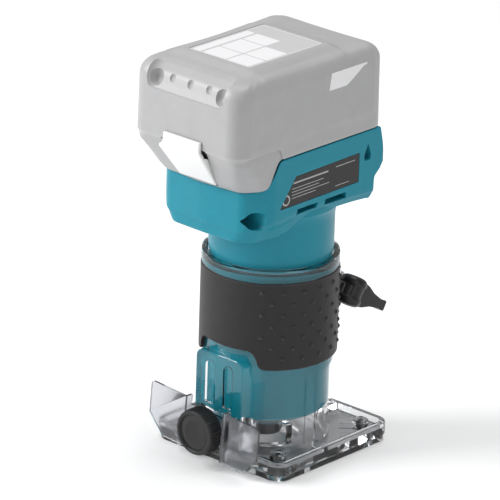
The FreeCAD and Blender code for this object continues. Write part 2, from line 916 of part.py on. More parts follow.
def head_shell_left():
    side = D.head_half_width
    wall = (-side - 1, -side + 4)
    features = [block(wall, (-D.switch_half, D.switch_half), (D.switch_low, D.switch_high))]
    features += [block(wall, span, (D.left_vent_low, D.left_vent_high)) for span in VENTS]
    return cut(common(head_whole(), block((-60, 0), (-80, 80), (100, 200))), *features)


def head_screw(place_yz, side):
    """A pan-head screw whose head is on the given side, 1 for right and -1 for left."""
    seat = D.case_screw_seat
    tip = D.case_screw_tip
    head_height = 2.1
    head = (seat, seat + head_height) if side > 0 else (-seat - head_height, -seat)
    shank = (-tip, seat) if side > 0 else (-seat, tip)
    return fused(rod(D.case_screw_head_radius, head, place_yz, "x"),
                 rod(D.case_screw_radius, shank, place_yz, "x"))


def head_screws():
    return group(head_screw(FRONT_SCREW, 1), head_screw(BACK_SCREW, 1), head_screw(LOWER_SCREW, -1))


def name_plate():
    side = D.head_half_width
    corners = [(-36.6, 151.1), (24.8, 151.3), (24.8, 167.3), (-24.5, 166.7)]
    return prism("x", (side - 0.7, side - 0.05), corners)


def switch_body():
    return block((-33.6, -22), (-D.switch_half, D.switch_half), (D.switch_low - 2, D.switch_high))


def switch_slider():
    """The thumb slide, at the off end of its slot."""
    low = D.switch_low + 0.5
    high = D.switch_high - 0.5
    pad_face = -39.6
    stem_face = -37.4
    stem = block((stem_face, -34.0), (-12.4, 4.0), (low, high))
    pad = block((pad_face, stem_face), (-11.0, 2.6), (low + 1, high - 1))
    return fused(stem, pad)


def controller_tray():
    wall = D.tray_wall
    low = D.tray_low
    high = D.tray_high
    outer = block((-21, 30), (-38, 27), (low, high))
    inner = block((-21 + wall, 30 - wall), (-38 + wall, 27 - wall), (low + wall, high + 1))
    lead_notch = block((-11, 11), (17, 30), (low - 1, high + 1))
    return cut(outer, inner, lead_notch)


def controller_board():
    low = D.controller_board_low
    high = D.controller_board_high
    lead_notch = block((-11, 11), (16, 30), (low - 1, high + 1.4))
    return cut(block((-19, 28), (-36, 25), (low, high)), lead_notch)


def power_transistors():
    """Six switches, two rows on the board."""
    row = [(x, y) for y in (-28, -14) for x in (-13, 1, 15)]
    low = D.controller_board_high
    return group(*[block((x, x + 9), (y, y + 10), (low, low + 2.3)) for x, y in row])


def filter_capacitor():
    radius = 5.0
    return rod(radius, (-14, 14), (7, D.controller_board_high + radius + 0.1), "x")


BLADES = (-15.0, 0.0, 15.0)


def terminal_block():
    body = block((-24, 24), (20.3, D.rail_back - 0.3), (D.recess_bottom, D.blade_high + 2))
    slots = [blade(x, 20) for x in BLADES]
    return cut(body, rod(D.case_screw_radius + 0.2, (-25, 25), BACK_SCREW, "x"), *slots)


def blade(x, front):
    return block((x - D.blade_half, x + D.blade_half), (front, 30), (D.blade_low, D.blade_high))


def terminal_blades():
    return group(*[blade(x, 5) for x in BLADES])


# ---------------------------------------------------------------- battery

def pack_plan(inset, span, radius):
    side = D.pack_half_width - inset
    front = -D.pack_front + inset
    back = D.pack_back - inset
    return prism("z", span, [(-side, front), (side, front), (side, back), (-side, back)],
                 [(radius, lambda x, y: True)])


def battery_cover():
    """The pack's upper case, with a scooped front edge and a skirt down its sides and back."""
    side = D.pack_half_width
    seam = D.pack_seam
    top = D.pack_top
    front = -D.pack_front
    back = D.pack_back
    plan = pack_plan(0, (seam, top), D.pack_corner)
    profile = [(front, seam), (back, seam), (back, top), (front, top)]
    top_edges = [(D.pack_edge, lambda across, z: z > 220)]
    long_form = prism("x", (-side, side), profile, top_edges)
    section = [(-side, seam), (side, seam), (side, top), (-side, top)]
    cross_form = prism("y", (front, back), section, top_edges)
    scoop = [(front - 5, 208.5), (front, 210.5), (-66.5, 213.2), (-61.0, 220.5), (-57.0, top + 0.5),
             (front - 5, top + 1)]
    roof = top - 2.4
    shoulder = roof - 5.1
    slope = 6.0
    hollow = common(
        pack_plan(D.pack_wall, (seam - 1, top), D.pack_corner - D.pack_wall),
        prism("x", (-side, side), [(front, seam - 1), (back, seam - 1), (back, shoulder),
                                   (back - slope, roof), (-55, roof), (-59, 218.3), (-64.5, 210.5),
                                   (front, 207.5)]),
        prism("y", (front, back), [(-side, seam - 1), (side, seam - 1), (side, shoulder),
                                   (side - slope, roof), (-side + slope, roof), (-side, shoulder)]),
    )
    posts = [rod(radius, (seam, seam + 12), spot) for radius, spot in cover_posts()]
    ledge = block((-6, 6), (-69.5, -57.2), (192, 194))
    skirt = cut(pack_plan(0, (D.pack_bottom + 0.3, seam), D.pack_corner),
                pack_plan(D.tray_inset - 0.05, (D.pack_bottom, seam + 1), D.pack_corner - D.tray_inset),
                block((-50, 50), (-80, -D.skirt_front), (D.pack_bottom, seam + 0.1)))
    scoop_form = prism("x", (-D.scoop_half, D.scoop_half), scoop)
    shell = fused(cut(common(plan, long_form, cross_form), scoop_form, hollow), skirt, *posts, ledge)
    pilot = [rod(1.3, (seam - 1, seam + 10), spot) for radius, spot in cover_posts()]
    gap = 0.2
    label_seat = block((-D.label_half - gap, D.label_half + gap),
                       (-D.label_front - gap, D.label_back + gap), (top - 0.5, top + 1))
    return cut(shell, label_seat, *pilot)


def cover_posts():
    """Radius and place of the screw posts: two in front of the cells, two behind."""
    for side in (-1, 1):
        yield 3.0, (side * 32.8, -65.2)
        yield 1.9, (side * 32.6, 39.3)


def battery_screws():
    screws = []
    for radius, spot in cover_posts():
        head = rod(1.85, (180.6, 182.2), spot)
        screws.append(fused(head, rod(1.25, (182.2, D.pack_seam + 9), spot)))
    return group(*screws)


def tray_side_profile():
    return [(-69.6, 186), (-69.6, 183.5), (-61.0, 163.2), (-47.4, 163.5), (-43.4, 165.8), (-38.3, 176.4),
            (-35.8, D.pack_bottom), (-35.8, 186)]


def battery_tray():
    """The pack's lower case: slab, hanging nose, and the tongue with its two rail grooves."""
    seam = D.pack_seam
    back = D.tongue_back
    low = D.recess_bottom + 0.5
    slab = pack_plan(D.tray_inset, (D.pack_bottom, seam), D.pack_corner - D.tray_inset)
    plan = pack_plan(D.tray_inset, (low, seam), D.pack_corner + 4)
    front_form = prism("y", (-80, 60), [(-36.3, seam), (-36.3, 180), (-33.0, low), (33.0, low), (36.3, 180),
                                        (36.3, seam)])
    nose = common(plan, front_form, prism("x", (-37, 37), tray_side_profile()))
    tongue_profile = [(-69.6, seam), (-69.6, 183.5), (-60.0, low), (back, low), (back, seam)]
    tongue = common(
        prism("x", (-30.9, 30.9), tongue_profile),
        fused(plan, block((-31, 31), (-50, 30), (low, seam))),
    )
    hollow_profile = [(-63.2, 187), (-63.2, 183), (-55.6, 163), (back - 2.2, 163), (back - 2.2, 187)]
    hollows = [
        prism("x", (-25, 25), hollow_profile),
        block((-34, 34), (-63.2, 40.7), (180.5, 187)),
        prism("x", (-17.2, 17.2), [(-75, 187), (-66.4, 187), (-66.4, 183.2), (-58.6, 165.2), (-75, 165.2)]),
        block((-4.6, 4.6), (-67, -55), (176, 187)),
        block((-6.6, 6.6), (-55.6, -51.0), (low - 1, 164)),
    ]
    for inner, outer in ((27.2, 31.5), (-31.5, -27.2)):
        hollows.append(block((inner, outer), (-D.rail_front - 0.4, back + 1), (167.6, 171.9)))
    hollows += [block((x - 1.3, x + 1.3), (back - 4, back + 1), (163.3, 174.7)) for x in BLADES]
    posts = [rod(2.3, (D.pack_bottom, seam), spot) for radius, spot in cover_posts()]
    bores = [rod(1.3, (178, seam + 1), spot) for radius, spot in cover_posts()]
    bores += [rod(1.9, (160, 182.2), spot) for radius, spot in cover_posts()]
    return cut(fused(cut(fused(slab, nose, tongue), *hollows), *posts), *bores)


CELLS_IN_ROW = 5


def cell_places():
    for z in (D.cell_row_low, D.cell_row_high):
        for step in range(CELLS_IN_ROW):
            yield D.first_cell_y + D.cell_pitch * step, z


def battery_cells():
    half = D.cell_length / 2
    return group(*[rod(D.cell_radius - 0.1, (-half, half), spot, "x") for spot in cell_places()])


def cell_frames():
    """A frame near each end of the cells."""
    low = D.cell_row_low - 9.4
    high = D.cell_row_high + 9.4
    front = -57.4
    back = 38.4
    face = [(front, low), (back, low), (back, high), (front + 3.5, high), (front, high - 5.3)]
    frames = []
    for span in ((D.frame_inner, D.frame_outer), (-D.frame_outer, -D.frame_inner)):
        holes = [rod(D.cell_radius - 0.05, (span[0] - 1, span[1] + 1), spot, "x") for spot in cell_places()]
        frames.append(cut(prism("x", span, face), *holes))
    return group(*frames)


def cell_straps():
    """Welded strips over the cells' ends, each joining a low cell to the one above it."""
    half = D.cell_length / 2
    thick = 0.3
    strip_half = 4.0
    height = (D.cell_row_low - 6, D.cell_row_high + 6.1)
    straps = []
    for span in ((half, half + thick), (-half - thick, -half)):
        for step in range(CELLS_IN_ROW):
            y = D.first_cell_y + D.cell_pitch * step
            straps.append(block(span, (y - strip_half, y + strip_half), height))
    return group(*straps)


def battery_board():
    return block((-28, 28), (-48, 39), (D.board_low, D.board_high))


def battery_terminals():
    """Spring leaves either side of each blade, hanging from the board."""
    outer = 1.3
    inner = 0.78
    clips = []
    for x in BLADES:
        outside = block((x - outer, x + outer), (4, 16), (D.blade_low + 0.4, D.board_low))
        inside = block((x - inner, x + inner), (3, 17), (D.recess_bottom, D.board_low - 1.6))
        clips.append(cut(outside, inside))
    return group(*clips)


def battery_label():
    height = (D.pack_top - 0.5, D.pack_top - 0.1)
    return block((-D.label_half, D.label_half), (-D.label_front, D.label_back), height)


def release_button():
    """The thumb slide on the pack's front, its arm and its latch tab."""
    profile = [(-71.2, 190), (-72.4, 190), (-73.2, 183.6), (-72.4, 181.8), (-63.4, 166.7), (-61.8, 166.7),
               (-68.2, 181.2), (-71.2, 181.2)]
    half = D.button_half
    ridge = D.button_ridge_half
    right = [(12, 166), (ridge, 180.6), (ridge, 182.6), (half, 184), (half, 190)]
    face = [(-x, z) for x, z in reversed(right)] + right
    pad = common(prism("x", (-ridge - 0.2, ridge + 0.2), profile), prism("y", (-75, -60), face))
    arm = block((-4, 4), (-69, -D.latch_back), (D.latch_arm_low, D.latch_arm_high))
    tab = block((-6, 6), (-55.0, -D.latch_back), (D.recess_bottom + 0.6, D.latch_arm_high))
    return fused(pad, arm, tab)


def release_spring():
    """The helical spring that holds the release button down."""
    radius = 2.2
    pitch = 2.2
    height = 10.8
    wire_radius = 0.35
    coil = Part.makeHelix(pitch, height, radius)
    wire = Part.Wire(Part.makeCircle(wire_radius, Vector(radius, 0, 0), Vector(0, 1, 0)))
    item = doc.addObject("Part::Feature", "spring")
    item.Shape = Part.Wire(coil).makePipeShell([wire], True, True)
    return place(item, 0, -60.0, 180.1)


# ---------------------------------------------------------------- output

def main():
    build()
    doc.recompute()
    broken = [o.Label for o in doc.Objects if "Invalid" in o.State or "Error" in o.State]
    if broken:
        raise SystemExit("failed objects: " + ", ".join(broken))
    os.makedirs("parts", exist_ok=True)
    for item in parts:
        if item.Shape.isNull() or not item.Shape.isValid():
            raise SystemExit("bad shape: " + item.Label)
        print(f"{item.Label:24s} {len(item.Shape.Solids):3d} solids {item.Shape.Volume:12.1f} mm3")
        item.Shape.exportStep(f"parts/{item.Label}.step")


def build():
    part("sole_plate", sole_plate())
    part("sole_screws", foot_screw())
    part("clear_plate", clear_plate())
    part("clear_tube", clear_tube())
    part("front_bracket", front_bracket())
    part("clamp_lugs", clamp_lugs())
    part("grip_sleeve", grip_sleeve())
    part("chip_deflector", chip_deflector())
    part("column_insert", column_insert())
    part("clamp_bolt", clamp_bolt())
    part("lever_pin", lever_pin())
    part("cam_washer", cam_washer())
    part("clamp_washer", clamp_washer())
    part("clamp_nut", clamp_nut())
    part("cam_lever", cam_lever())
    part("thumb_knob", thumb_knob())
    part("thumb_stud", thumb_stud())
    part("thumb_washer", thumb_washer())
    part("motor_barrel", motor_barrel())
    part("bearing_bracket", bearing_bracket())
    lower = (D.lower_bearing_low, D.lower_bearing_high)
    upper = (D.upper_bearing_low, D.upper_bearing_high)
    part("lower_bearing_outer", bearing_outer(D.lower_bearing_radius, 10.6, 7.6, *lower))
    part("upper_bearing_outer", bearing_outer(D.upper_bearing_radius, 9.0, 6.2, *upper))
    part("stator_core", stator_core())
    part("stator_windings", stator_windings())
    part("sensor_board", sensor_board())
    part("phase_leads", phase_leads())
    part("spindle", spindle())
    part("rotor_core", rotor_core())
    part("rotor_magnets", rotor_magnets())
    part("cooling_fan", cooling_fan())
    part("lower_bearing_inner", bearing_inner(D.shaft_radius, 7.2, *lower))
    part("upper_bearing_inner", bearing_inner(D.shaft_tip_radius, 5.8, *upper))
    part("collet", collet())
    part("collet_nut", collet_nut())
    part("head_shell_right", head_shell_right())
    part("head_shell_left", head_shell_left())
    part("head_screws", head_screws())
    part("name_plate", name_plate())
    part("switch_body", switch_body())
    part("switch_slider", switch_slider())
    part("controller_tray", controller_tray())
    part("controller_board", controller_board())
    part("power_transistors", power_transistors())
    part("filter_capacitor", filter_capacitor())
    part("terminal_block", terminal_block())
    part("terminal_blades", terminal_blades())
    part("battery_cover", battery_cover())
    part("battery_tray", battery_tray())
    part("battery_screws", battery_screws())
    part("battery_cells", battery_cells())
    part("cell_frames", cell_frames())
    part("cell_straps", cell_straps())
    part("battery_board", battery_board())
    part("battery_terminals", battery_terminals())
    part("battery_label", battery_label())
    part("release_button", release_button())
    part("release_spring", release_spring())


main()
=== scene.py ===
"""Looks of the battery trim router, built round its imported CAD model.

Shapes are written in millimetres and made as meshes in metres, in the CAD's frame.  The camera and the
lamps are placed in metres.
-Y is the front, with the thumb screw; +Y is the back, with the clamp lever; +Z is up.
"""

from math import atan2, copysign, cos, degrees, dist, hypot, pi, radians, sin, sqrt, tan

import bmesh
import bpy
from mathutils import Matrix, Vector


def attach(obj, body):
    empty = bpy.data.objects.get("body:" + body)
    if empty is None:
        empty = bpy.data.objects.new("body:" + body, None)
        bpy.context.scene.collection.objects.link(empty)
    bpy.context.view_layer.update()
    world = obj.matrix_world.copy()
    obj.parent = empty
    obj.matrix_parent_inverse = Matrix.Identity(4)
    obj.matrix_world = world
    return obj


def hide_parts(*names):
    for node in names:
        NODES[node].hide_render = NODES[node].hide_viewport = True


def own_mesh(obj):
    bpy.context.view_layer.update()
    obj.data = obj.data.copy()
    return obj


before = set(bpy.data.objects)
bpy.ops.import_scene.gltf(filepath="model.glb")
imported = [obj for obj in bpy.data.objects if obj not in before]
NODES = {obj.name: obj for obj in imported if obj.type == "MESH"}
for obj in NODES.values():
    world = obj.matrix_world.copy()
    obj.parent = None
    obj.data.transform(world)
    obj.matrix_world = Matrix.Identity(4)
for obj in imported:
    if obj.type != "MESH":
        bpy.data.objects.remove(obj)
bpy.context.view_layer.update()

MM = 0.001
scene = bpy.context.scene

# ------ camera


def set_camera():
    """A long lens turned from -Y towards +X, looking down a little, with a slight roll."""
    azimuth = radians(41.57)
    height = radians(21.09)
    roll = radians(1.79)
    distance = 2.652
    lens = 360.72
    target = Vector((-0.01475, 0.0, 0.10497))
    back = Vector((sin(azimuth) * cos(height), -cos(azimuth) * cos(height), sin(height)))
    level = Vector((cos(azimuth), sin(azimuth), 0.0))
    upward = back.cross(level)
    right = cos(roll) * level + sin(roll) * upward
    up = -sin(roll) * level + cos(roll) * upward
    data = bpy.data.cameras.new("camera")
    data.sensor_width = 36.0
    data.lens = lens
    data.clip_end = 20.0
    camera = bpy.data.objects.new("camera", data)
    scene.collection.objects.link(camera)
    turn = Matrix((right, up, back)).transposed().to_4x4()
    camera.matrix_world = Matrix.Translation(target + back * distance) @ turn
    scene.camera = camera


set_camera()

# ------ materials


def node_of(tree, kind, **values):
    """A shader node with its sockets set by name."""
    node = tree.nodes.new(kind)
    for name, value in values.items():
        node.inputs[name.replace("_", " ")].default_value = value
    return node


def material(name, colour, roughness, metallic=0.0, tint=0.05, patch=120, grain=2500, bump=0.03,
             spread=0.06, stretch=(1, 1, 1), specular=0.5, shader=None, edge_highlight=None):
    """A moulded or machined finish.

    Colour drifts by tint over patches, roughness by spread, and grain with bump gives the surface's
    fine texture, drawn out along stretch.  The last argument, a (colour, share) pair, paints a highlight
    on convex edges.
    """
    made = bpy.data.materials.new(name)
    made.use_nodes = True
    tree = made.node_tree
    links = tree.links
    bsdf = tree.nodes["Principled BSDF"]
    bsdf.inputs["Metallic"].default_value = metallic
    bsdf.inputs["Specular IOR Level"].default_value = specular
    for socket, value in (shader or {}).items():
        bsdf.inputs[socket].default_value = value
    where = tree.nodes.new("ShaderNodeTexCoord")
    mapped = node_of(tree, "ShaderNodeMapping", Scale=stretch)
    links.new(where.outputs["Object"], mapped.inputs["Vector"])
    patches = node_of(tree, "ShaderNodeTexNoise", Scale=patch, Detail=5.0, Roughness=0.6)
    fine = node_of(tree, "ShaderNodeTexNoise", Scale=grain, Detail=3.0, Roughness=0.55)
    for texture in (patches, fine):
        links.new(mapped.outputs["Vector"], texture.inputs["Vector"])
    ramp = tree.nodes.new("ShaderNodeValToRGB")
    for stop, place, share in zip(ramp.color_ramp.elements, (0.3, 0.7), (1 - tint, 1 + tint)):
        stop.position = place
        stop.color = [min(1.0, c * share) for c in colour] + [1]
    links.new(patches.outputs["Fac"], ramp.inputs["Fac"])
    surface = ramp.outputs["Color"]
    # painted highlight: convex edges, found by pointiness, are lightened towards the given colour
    if edge_highlight:
        geometry = tree.nodes.new("ShaderNodeNewGeometry")
        edge = node_of(tree, "ShaderNodeMapRange", From_Min=0.52, From_Max=0.62, To_Max=edge_highlight[1])
        links.new(geometry.outputs["Pointiness"], edge.inputs["Value"])
        mix = tree.nodes.new("ShaderNodeMix")
        mix.data_type = "RGBA"
        colours = [s for s in mix.inputs if s.type == "RGBA"]
        colours[1].default_value = list(edge_highlight[0]) + [1]
        links.new(edge.outputs["Result"], mix.inputs["Factor"])
        links.new(surface, colours[0])
        surface = [s for s in mix.outputs if s.type == "RGBA"][0]
    links.new(surface, bsdf.inputs["Base Color"])
    rough = node_of(tree, "ShaderNodeMapRange", To_Min=max(0.0, roughness - spread),
                    To_Max=min(1.0, roughness + spread))
    links.new(fine.outputs["Fac"], rough.inputs["Value"])
    links.new(rough.outputs["Result"], bsdf.inputs["Roughness"])
    dents = node_of(tree, "ShaderNodeBump", Strength=min(1.0, bump * 4), Distance=bump * MM * 2)
    links.new(fine.outputs["Fac"], dents.inputs["Height"])
    links.new(dents.outputs["Normal"], bsdf.inputs["Normal"])
    return made


def clear(name, colour, ior=1.5, roughness=0.015):
    """Clear moulded plastic: faint flow waves and a little haze."""
    return material(name, colour, roughness, tint=0.015, patch=70, grain=90, bump=0.02, spread=0.012,
                    specular=0.2, shader={"Transmission Weight": 1.0, "IOR": ior})


TEAL = (0.009, 0.20, 0.27)
# the lighter convex edges of the teal, rubber, pack, black and blackened finishes are a painted highlight
FINISH = {
    "teal": material("teal_moulding", TEAL, 0.42, tint=0.04, grain=3200, bump=0.05,
                     edge_highlight=((0.05, 0.34, 0.42), 0.4), specular=0.22),
    "barrel": material("teal_barrel", TEAL, 0.36, tint=0.03, grain=1800, bump=0.02, specular=0.22),
    # the barrel's teal, painted lighter than TEAL to make up for the shade of the clear tube over it:
    # painted light
    "lighter_teal": material("teal_painted_lighter", (0.005, 0.275, 0.36), 0.3, tint=0.03, grain=1800, bump=0.02,
                         specular=0.2),
    "rubber": material("charcoal_rubber", (0.013, 0.0115, 0.0125), 0.5, tint=0.12, patch=200, grain=2600,
                       bump=0.09, spread=0.1, edge_highlight=((0.10, 0.096, 0.098), 0.5), specular=0.32),
    "clear": clear("clear_moulding", (0.97, 0.975, 0.99)),
    "sheet": clear("clear_sheet", (0.66, 0.665, 0.70), 1.45, 0.16),
    "pack": material("pack_moulding", (0.335, 0.335, 0.34), 0.42, tint=0.03, grain=2600, bump=0.06,
                     edge_highlight=((0.75, 0.75, 0.75), 0.5)),
    "white": material("white_moulding", (0.72, 0.72, 0.72), 0.3, tint=0.02, grain=1500, bump=0.02),
    "black": material("black_moulding", (0.010, 0.010, 0.011), 0.36, tint=0.15, grain=2200, bump=0.05,
                      edge_highlight=((0.06, 0.06, 0.06), 0.4), specular=0.3),
    "film": material("printed_film", (0.018, 0.017, 0.017), 0.28, tint=0.1, grain=4000, bump=0.01,
                     specular=0.3),
    "ink": material("pale_ink", (0.36, 0.36, 0.36), 0.4, tint=0.05, grain=3000, bump=0.01),
    "label": material("pale_film", (0.46, 0.46, 0.465), 0.3, tint=0.02, grain=4000, bump=0.01),
    "stripe": material("white_stripe", (0.68, 0.68, 0.69), 0.35, tint=0.01, grain=3000, bump=0.02),
    "steel": material("turned_steel", (0.55, 0.55, 0.56), 0.28, 1.0, tint=0.05, grain=900, bump=0.03,
                      stretch=(1, 1, 9)),
    "zinc": material("zinc_plate", (0.62, 0.63, 0.64), 0.34, 1.0, tint=0.08, patch=500, grain=1500,
                     bump=0.03),
    "blackened": material("blackened_steel", (0.035, 0.035, 0.037), 0.35, 0.8, tint=0.2, patch=400,
                          grain=1600, bump=0.04, edge_highlight=((0.25, 0.25, 0.25), 0.4)),
    "cast": material("cast_aluminium", (0.6, 0.6, 0.61), 0.5, 1.0, tint=0.08, grain=1400, bump=0.12),
    "core": material("laminated_core", (0.2, 0.2, 0.21), 0.45, 0.9, tint=0.15, grain=300, bump=0.08,
                     stretch=(1, 1, 12)),
    "copper": material("enamelled_wire", (0.62, 0.22, 0.07), 0.3, 0.9, tint=0.15, grain=500, bump=0.2,
                       stretch=(1, 1, 6)),
    "magnet": material("plated_magnet", (0.35, 0.34, 0.33), 0.3, 1.0, tint=0.08, grain=1200, bump=0.03),
    "brass": material("turned_brass", (0.68, 0.47, 0.16), 0.3, 1.0, tint=0.08, grain=1400, bump=0.04),
    "board": material("circuit_board", (0.012, 0.12, 0.045), 0.35, tint=0.25, patch=700, grain=900,
                      bump=0.08),
    "chip": material("moulded_chip", (0.02, 0.02, 0.021), 0.5, tint=0.1, grain=2000, bump=0.05),
    "wire": material("wire_sleeve", (0.02, 0.03, 0.14), 0.45, tint=0.1, grain=1200, bump=0.04),
    "can": material("sleeved_can", (0.05, 0.12, 0.3), 0.3, tint=0.08, grain=1500, bump=0.02),
    "nickel": material("nickel_strip", (0.66, 0.64, 0.6), 0.3, 1.0, tint=0.06, grain=1600, bump=0.04),
}

# the finish of each CAD node that no rebuilt piece replaces
CAD_FINISH = {
    "blackened": "sole_screws clamp_bolt lever_pin collet_nut battery_screws",
    "zinc": "column_insert cam_washer clamp_washer clamp_nut thumb_stud thumb_washer",
    "black": "switch_slider terminal_block",
    "cast": "bearing_bracket controller_tray",
    "steel": "lower_bearing_outer upper_bearing_outer spindle lower_bearing_inner upper_bearing_inner "
             "collet",
    "core": "stator_core rotor_core",
    "copper": "stator_windings",
    "board": "sensor_board controller_board battery_board",
    "wire": "phase_leads",
    "magnet": "rotor_magnets",
    "chip": "cooling_fan switch_body power_transistors cell_frames",
    "can": "filter_capacitor battery_cells",
    "brass": "terminal_blades battery_terminals",
    "nickel": "cell_straps",
}


def paint(thing, finish):
    """Gives a thing one finish."""
    thing.data.materials.clear()
    thing.data.materials.append(FINISH[finish])


for finish_name, node_names in CAD_FINISH.items():
    for node_name in node_names.split():
        paint(NODES[node_name], finish_name)

# ------ mesh tools


def rounded(corners, steps=5):
    """A closed outline whose (u, v, radius) corners are turned into arcs."""
    outline = []
    count = len(corners)
    for index, corner in enumerate(corners):
        here = Vector(corner[:2])
        radius = corner[2] if len(corner) > 2 else 0.0
        before = Vector(corners[index - 1][:2]) - here
        after = Vector(corners[(index + 1) % count][:2]) - here
        half = before.angle(after) / 2
        if radius <= 0 or half > 1.56:
            outline.append(tuple(here))
            continue
        cut = min(radius / tan(half), 0.49 * min(before.length, after.length))
        radius = cut * tan(half)
        bisector = (before.normalized() + after.normalized()).normalized()
        centre = here + bisector * (radius / sin(half))
        start = here + before.normalized() * cut - centre
        end = here + after.normalized() * cut - centre
        turn = start.angle_signed(end)
        for step in range(steps + 1):
            arm = start.copy()
            arm.rotate(Matrix.Rotation(-turn * step / steps, 2))
            outline.append(tuple(centre + arm))
    return [here for before, here in zip([outline[-1]] + outline, outline) if dist(before, here) > 0.01]


def resampled(outline, spacing):
    """The same closed outline with a point every spacing or so, corners kept."""
    points = []
    for start, end in zip(outline, outline[1:] + outline[:1]):
        length = dist(start, end)
        parts = max(1, round(length / spacing))
        for part in range(parts):
            share = part / parts
            points.append(tuple(a + (b - a) * share for a, b in zip(start, end)))
    return points


def along(table, x):
    """Straight-line reading of a (x, y) table."""
    if x <= table[0][0]:
        return table[0][1]
    for (x0, y0), (x1, y1) in zip(table, table[1:]):
        if x <= x1:
            return y0 + (y1 - y0) * (x - x0) / (x1 - x0)
    return table[-1][1]


def eased(table, x, width):
    """The same table with its corners eased over a width to each side."""
    steps = [-1.0, -0.6, -0.3, 0.0, 0.3, 0.6, 1.0]
    return sum(along(table, x + width * step) for step in steps) / len(steps)


def smooth(low, high, x):
    """An eased step from 0 at low to 1 at high."""
    t = min(1.0, max(0.0, (x - low) / (high - low)))
    return t * t * (3 - 2 * t)


def mesh_object(name, points, faces):
    """An object from points in millimetres."""
    mesh = bpy.data.meshes.new(name)
    mesh.from_pydata([Vector(p) * MM for p in points], [], faces)
    mesh.validate()
    thing = bpy.data.objects.new(name, mesh)
    scene.collection.objects.link(thing)
    outward(thing)
    return thing


def outward(thing):
    """Merges doubled points and turns a closed skin's faces outwards."""
    shape = bmesh.new()
    shape.from_mesh(thing.data)
    bmesh.ops.remove_doubles(shape, verts=shape.verts, dist=1e-7)
    if shape.calc_volume(signed=True) < 0:
        bmesh.ops.reverse_faces(shape, faces=shape.faces)
    shape.to_mesh(thing.data)
    shape.free()


def rings(name, rows, closed=False):
    """A skin through rows of equal length, each a closed loop; the ends are capped, or joined if closed."""
    count = len(rows[0])
    points = [point for row in rows for point in row]
    faces = []
    last = len(rows) if closed else len(rows) - 1
    for row in range(last):
        first = row * count
        second = ((row + 1) % len(rows)) * count
        for index in range(count):
            after = (index + 1) % count
            faces.append((first + index, first + after, second + after, second + index))
    if not closed:
        faces.append(tuple(reversed(range(count))))
        faces.append(tuple(range((len(rows) - 1) * count, len(rows) * count)))
    return mesh_object(name, points, faces)


def polar(centre, radius, angle):
    """The (x, y) of a point at a radius and an angle from a centre."""
    return centre.x + radius * cos(angle), centre.y + radius * sin(angle)


def shift(x, y, z):
    """A move in millimetres, as a matrix."""
    return Matrix.Translation(Vector((x, y, z)) * MM)


def placed(axis, u, v, along_axis):
    """A point from its place in the plane across an axis, (y, z), (x, z) or (x, y), and along the axis."""
    return {"x": (along_axis, u, v), "y": (u, along_axis, v), "z": (u, v, along_axis)}[axis]


def prism(name, axis, span, outline):
    """An outline across an axis, pushed along it."""
    return rings(name, [[placed(axis, u, v, level) for u, v in outline] for level in span])


def block(name, x, y, z, corner=0.0, axis="z", steps=4):
    """A box between x, y and z pairs, with its edges along the axis rounded by corner."""
    spans = {"x": (y, z, x), "y": (x, z, y), "z": (x, y, z)}[axis]
    (u0, u1), (v0, v1), span = spans
    outline = rounded([(u0, v0, corner), (u1, v0, corner), (u1, v1, corner), (u0, v1, corner)], steps)
    return prism(name, axis, span, outline)


def turned(profile, steps, centre, axis):
    """A (radius, height) profile at equal turns about an axis: one list of points for each turn."""
    turns = []
    for step in range(steps):
        angle = 2 * pi * step / steps
        turns.append([placed(axis, centre[0] + radius * cos(angle),
                             centre[1] + radius * sin(angle), height) for radius, height in profile])
    return turns


def lathe(name, profile, steps=128, centre=(0, 0), axis="z"):
    """A closed (radius, height) outline turned about an axis."""
    return rings(name, turned(profile, steps, centre, axis), closed=True)


def disc(name, profile, steps=96, centre=(0, 0), axis="z"):
    """An open (radius, height) profile turned about an axis, with both ends closed over."""
    return rings(name, list(zip(*turned(profile, steps, centre, axis))))


def settle(thing):
    """Makes the modifiers part of the mesh."""
    depsgraph = bpy.context.evaluated_depsgraph_get()
    depsgraph.update()
    mesh = bpy.data.meshes.new_from_object(thing.evaluated_get(depsgraph))
    old = thing.data
    thing.modifiers.clear()
    thing.data = mesh
    bpy.data.meshes.remove(old)


def discard(*things):
    """Removes scratch objects and their meshes."""
    for thing in things:
        mesh = thing.data
        bpy.data.objects.remove(thing)
        bpy.data.meshes.remove(mesh)


def combine(thing, *tools, how="DIFFERENCE"):
    """Cuts the tools out of a thing, or joins or intersects them with it, and removes the tools."""
    for tool in tools:
        step = thing.modifiers.new("combine", "BOOLEAN")
        step.operation = how
        step.solver = "EXACT"
        step.object = tool
    settle(thing)
    discard(*tools)


def join(first, others):
    """Adds the other meshes to the first object's."""
    shape = bmesh.new()
    shape.from_mesh(first.data)
    for other in others:
        shape.from_mesh(other.data)
    shape.to_mesh(first.data)
    shape.free()
    discard(*others)


def soften(thing, width, segments=2, angle=40.0):
    """Rounds every edge sharper than angle."""
    step = thing.modifiers.new("soften", "BEVEL")
    step.width = width * MM
    step.segments = segments
    step.limit_method = "ANGLE"
    step.angle_limit = radians(angle)
    step.miter_outer = "MITER_ARC"
    step.use_clamp_overlap = True
    settle(thing)


def piece(thing, body, finish, replaces=(), sharp=32.0, flats=True):
    """Finishes a piece: shading, material, the body it rides on and the CAD nodes it stands for."""
    thing.data.shade_smooth()
    thing.data.set_sharp_from_angle(angle=radians(sharp))
    if flats:
        even = thing.modifiers.new("flats", "WEIGHTED_NORMAL")
        even.keep_sharp = True
        even.weight = 90
        settle(thing)
    paint(thing, finish)
    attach(thing, body)
    if replaces:
        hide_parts(*replaces)


# ------ grip sleeve

SLEEVE_OUT = 36.9
SLEEVE_IN = 34.75
SLEEVE_TOP = 103.7
SLEEVE_LOW = 55.1
# the rubber's lower edge in front: (degrees from the front line, height)
ARCH = ((0, 65.2), (24.5, 65.2), (28.0, 64.2), (30.5, 62.3), (32.2, 60.0), (33.3, 57.6), (34.8, 56.2),
        (37.0, 55.4), (39.5, 55.1))
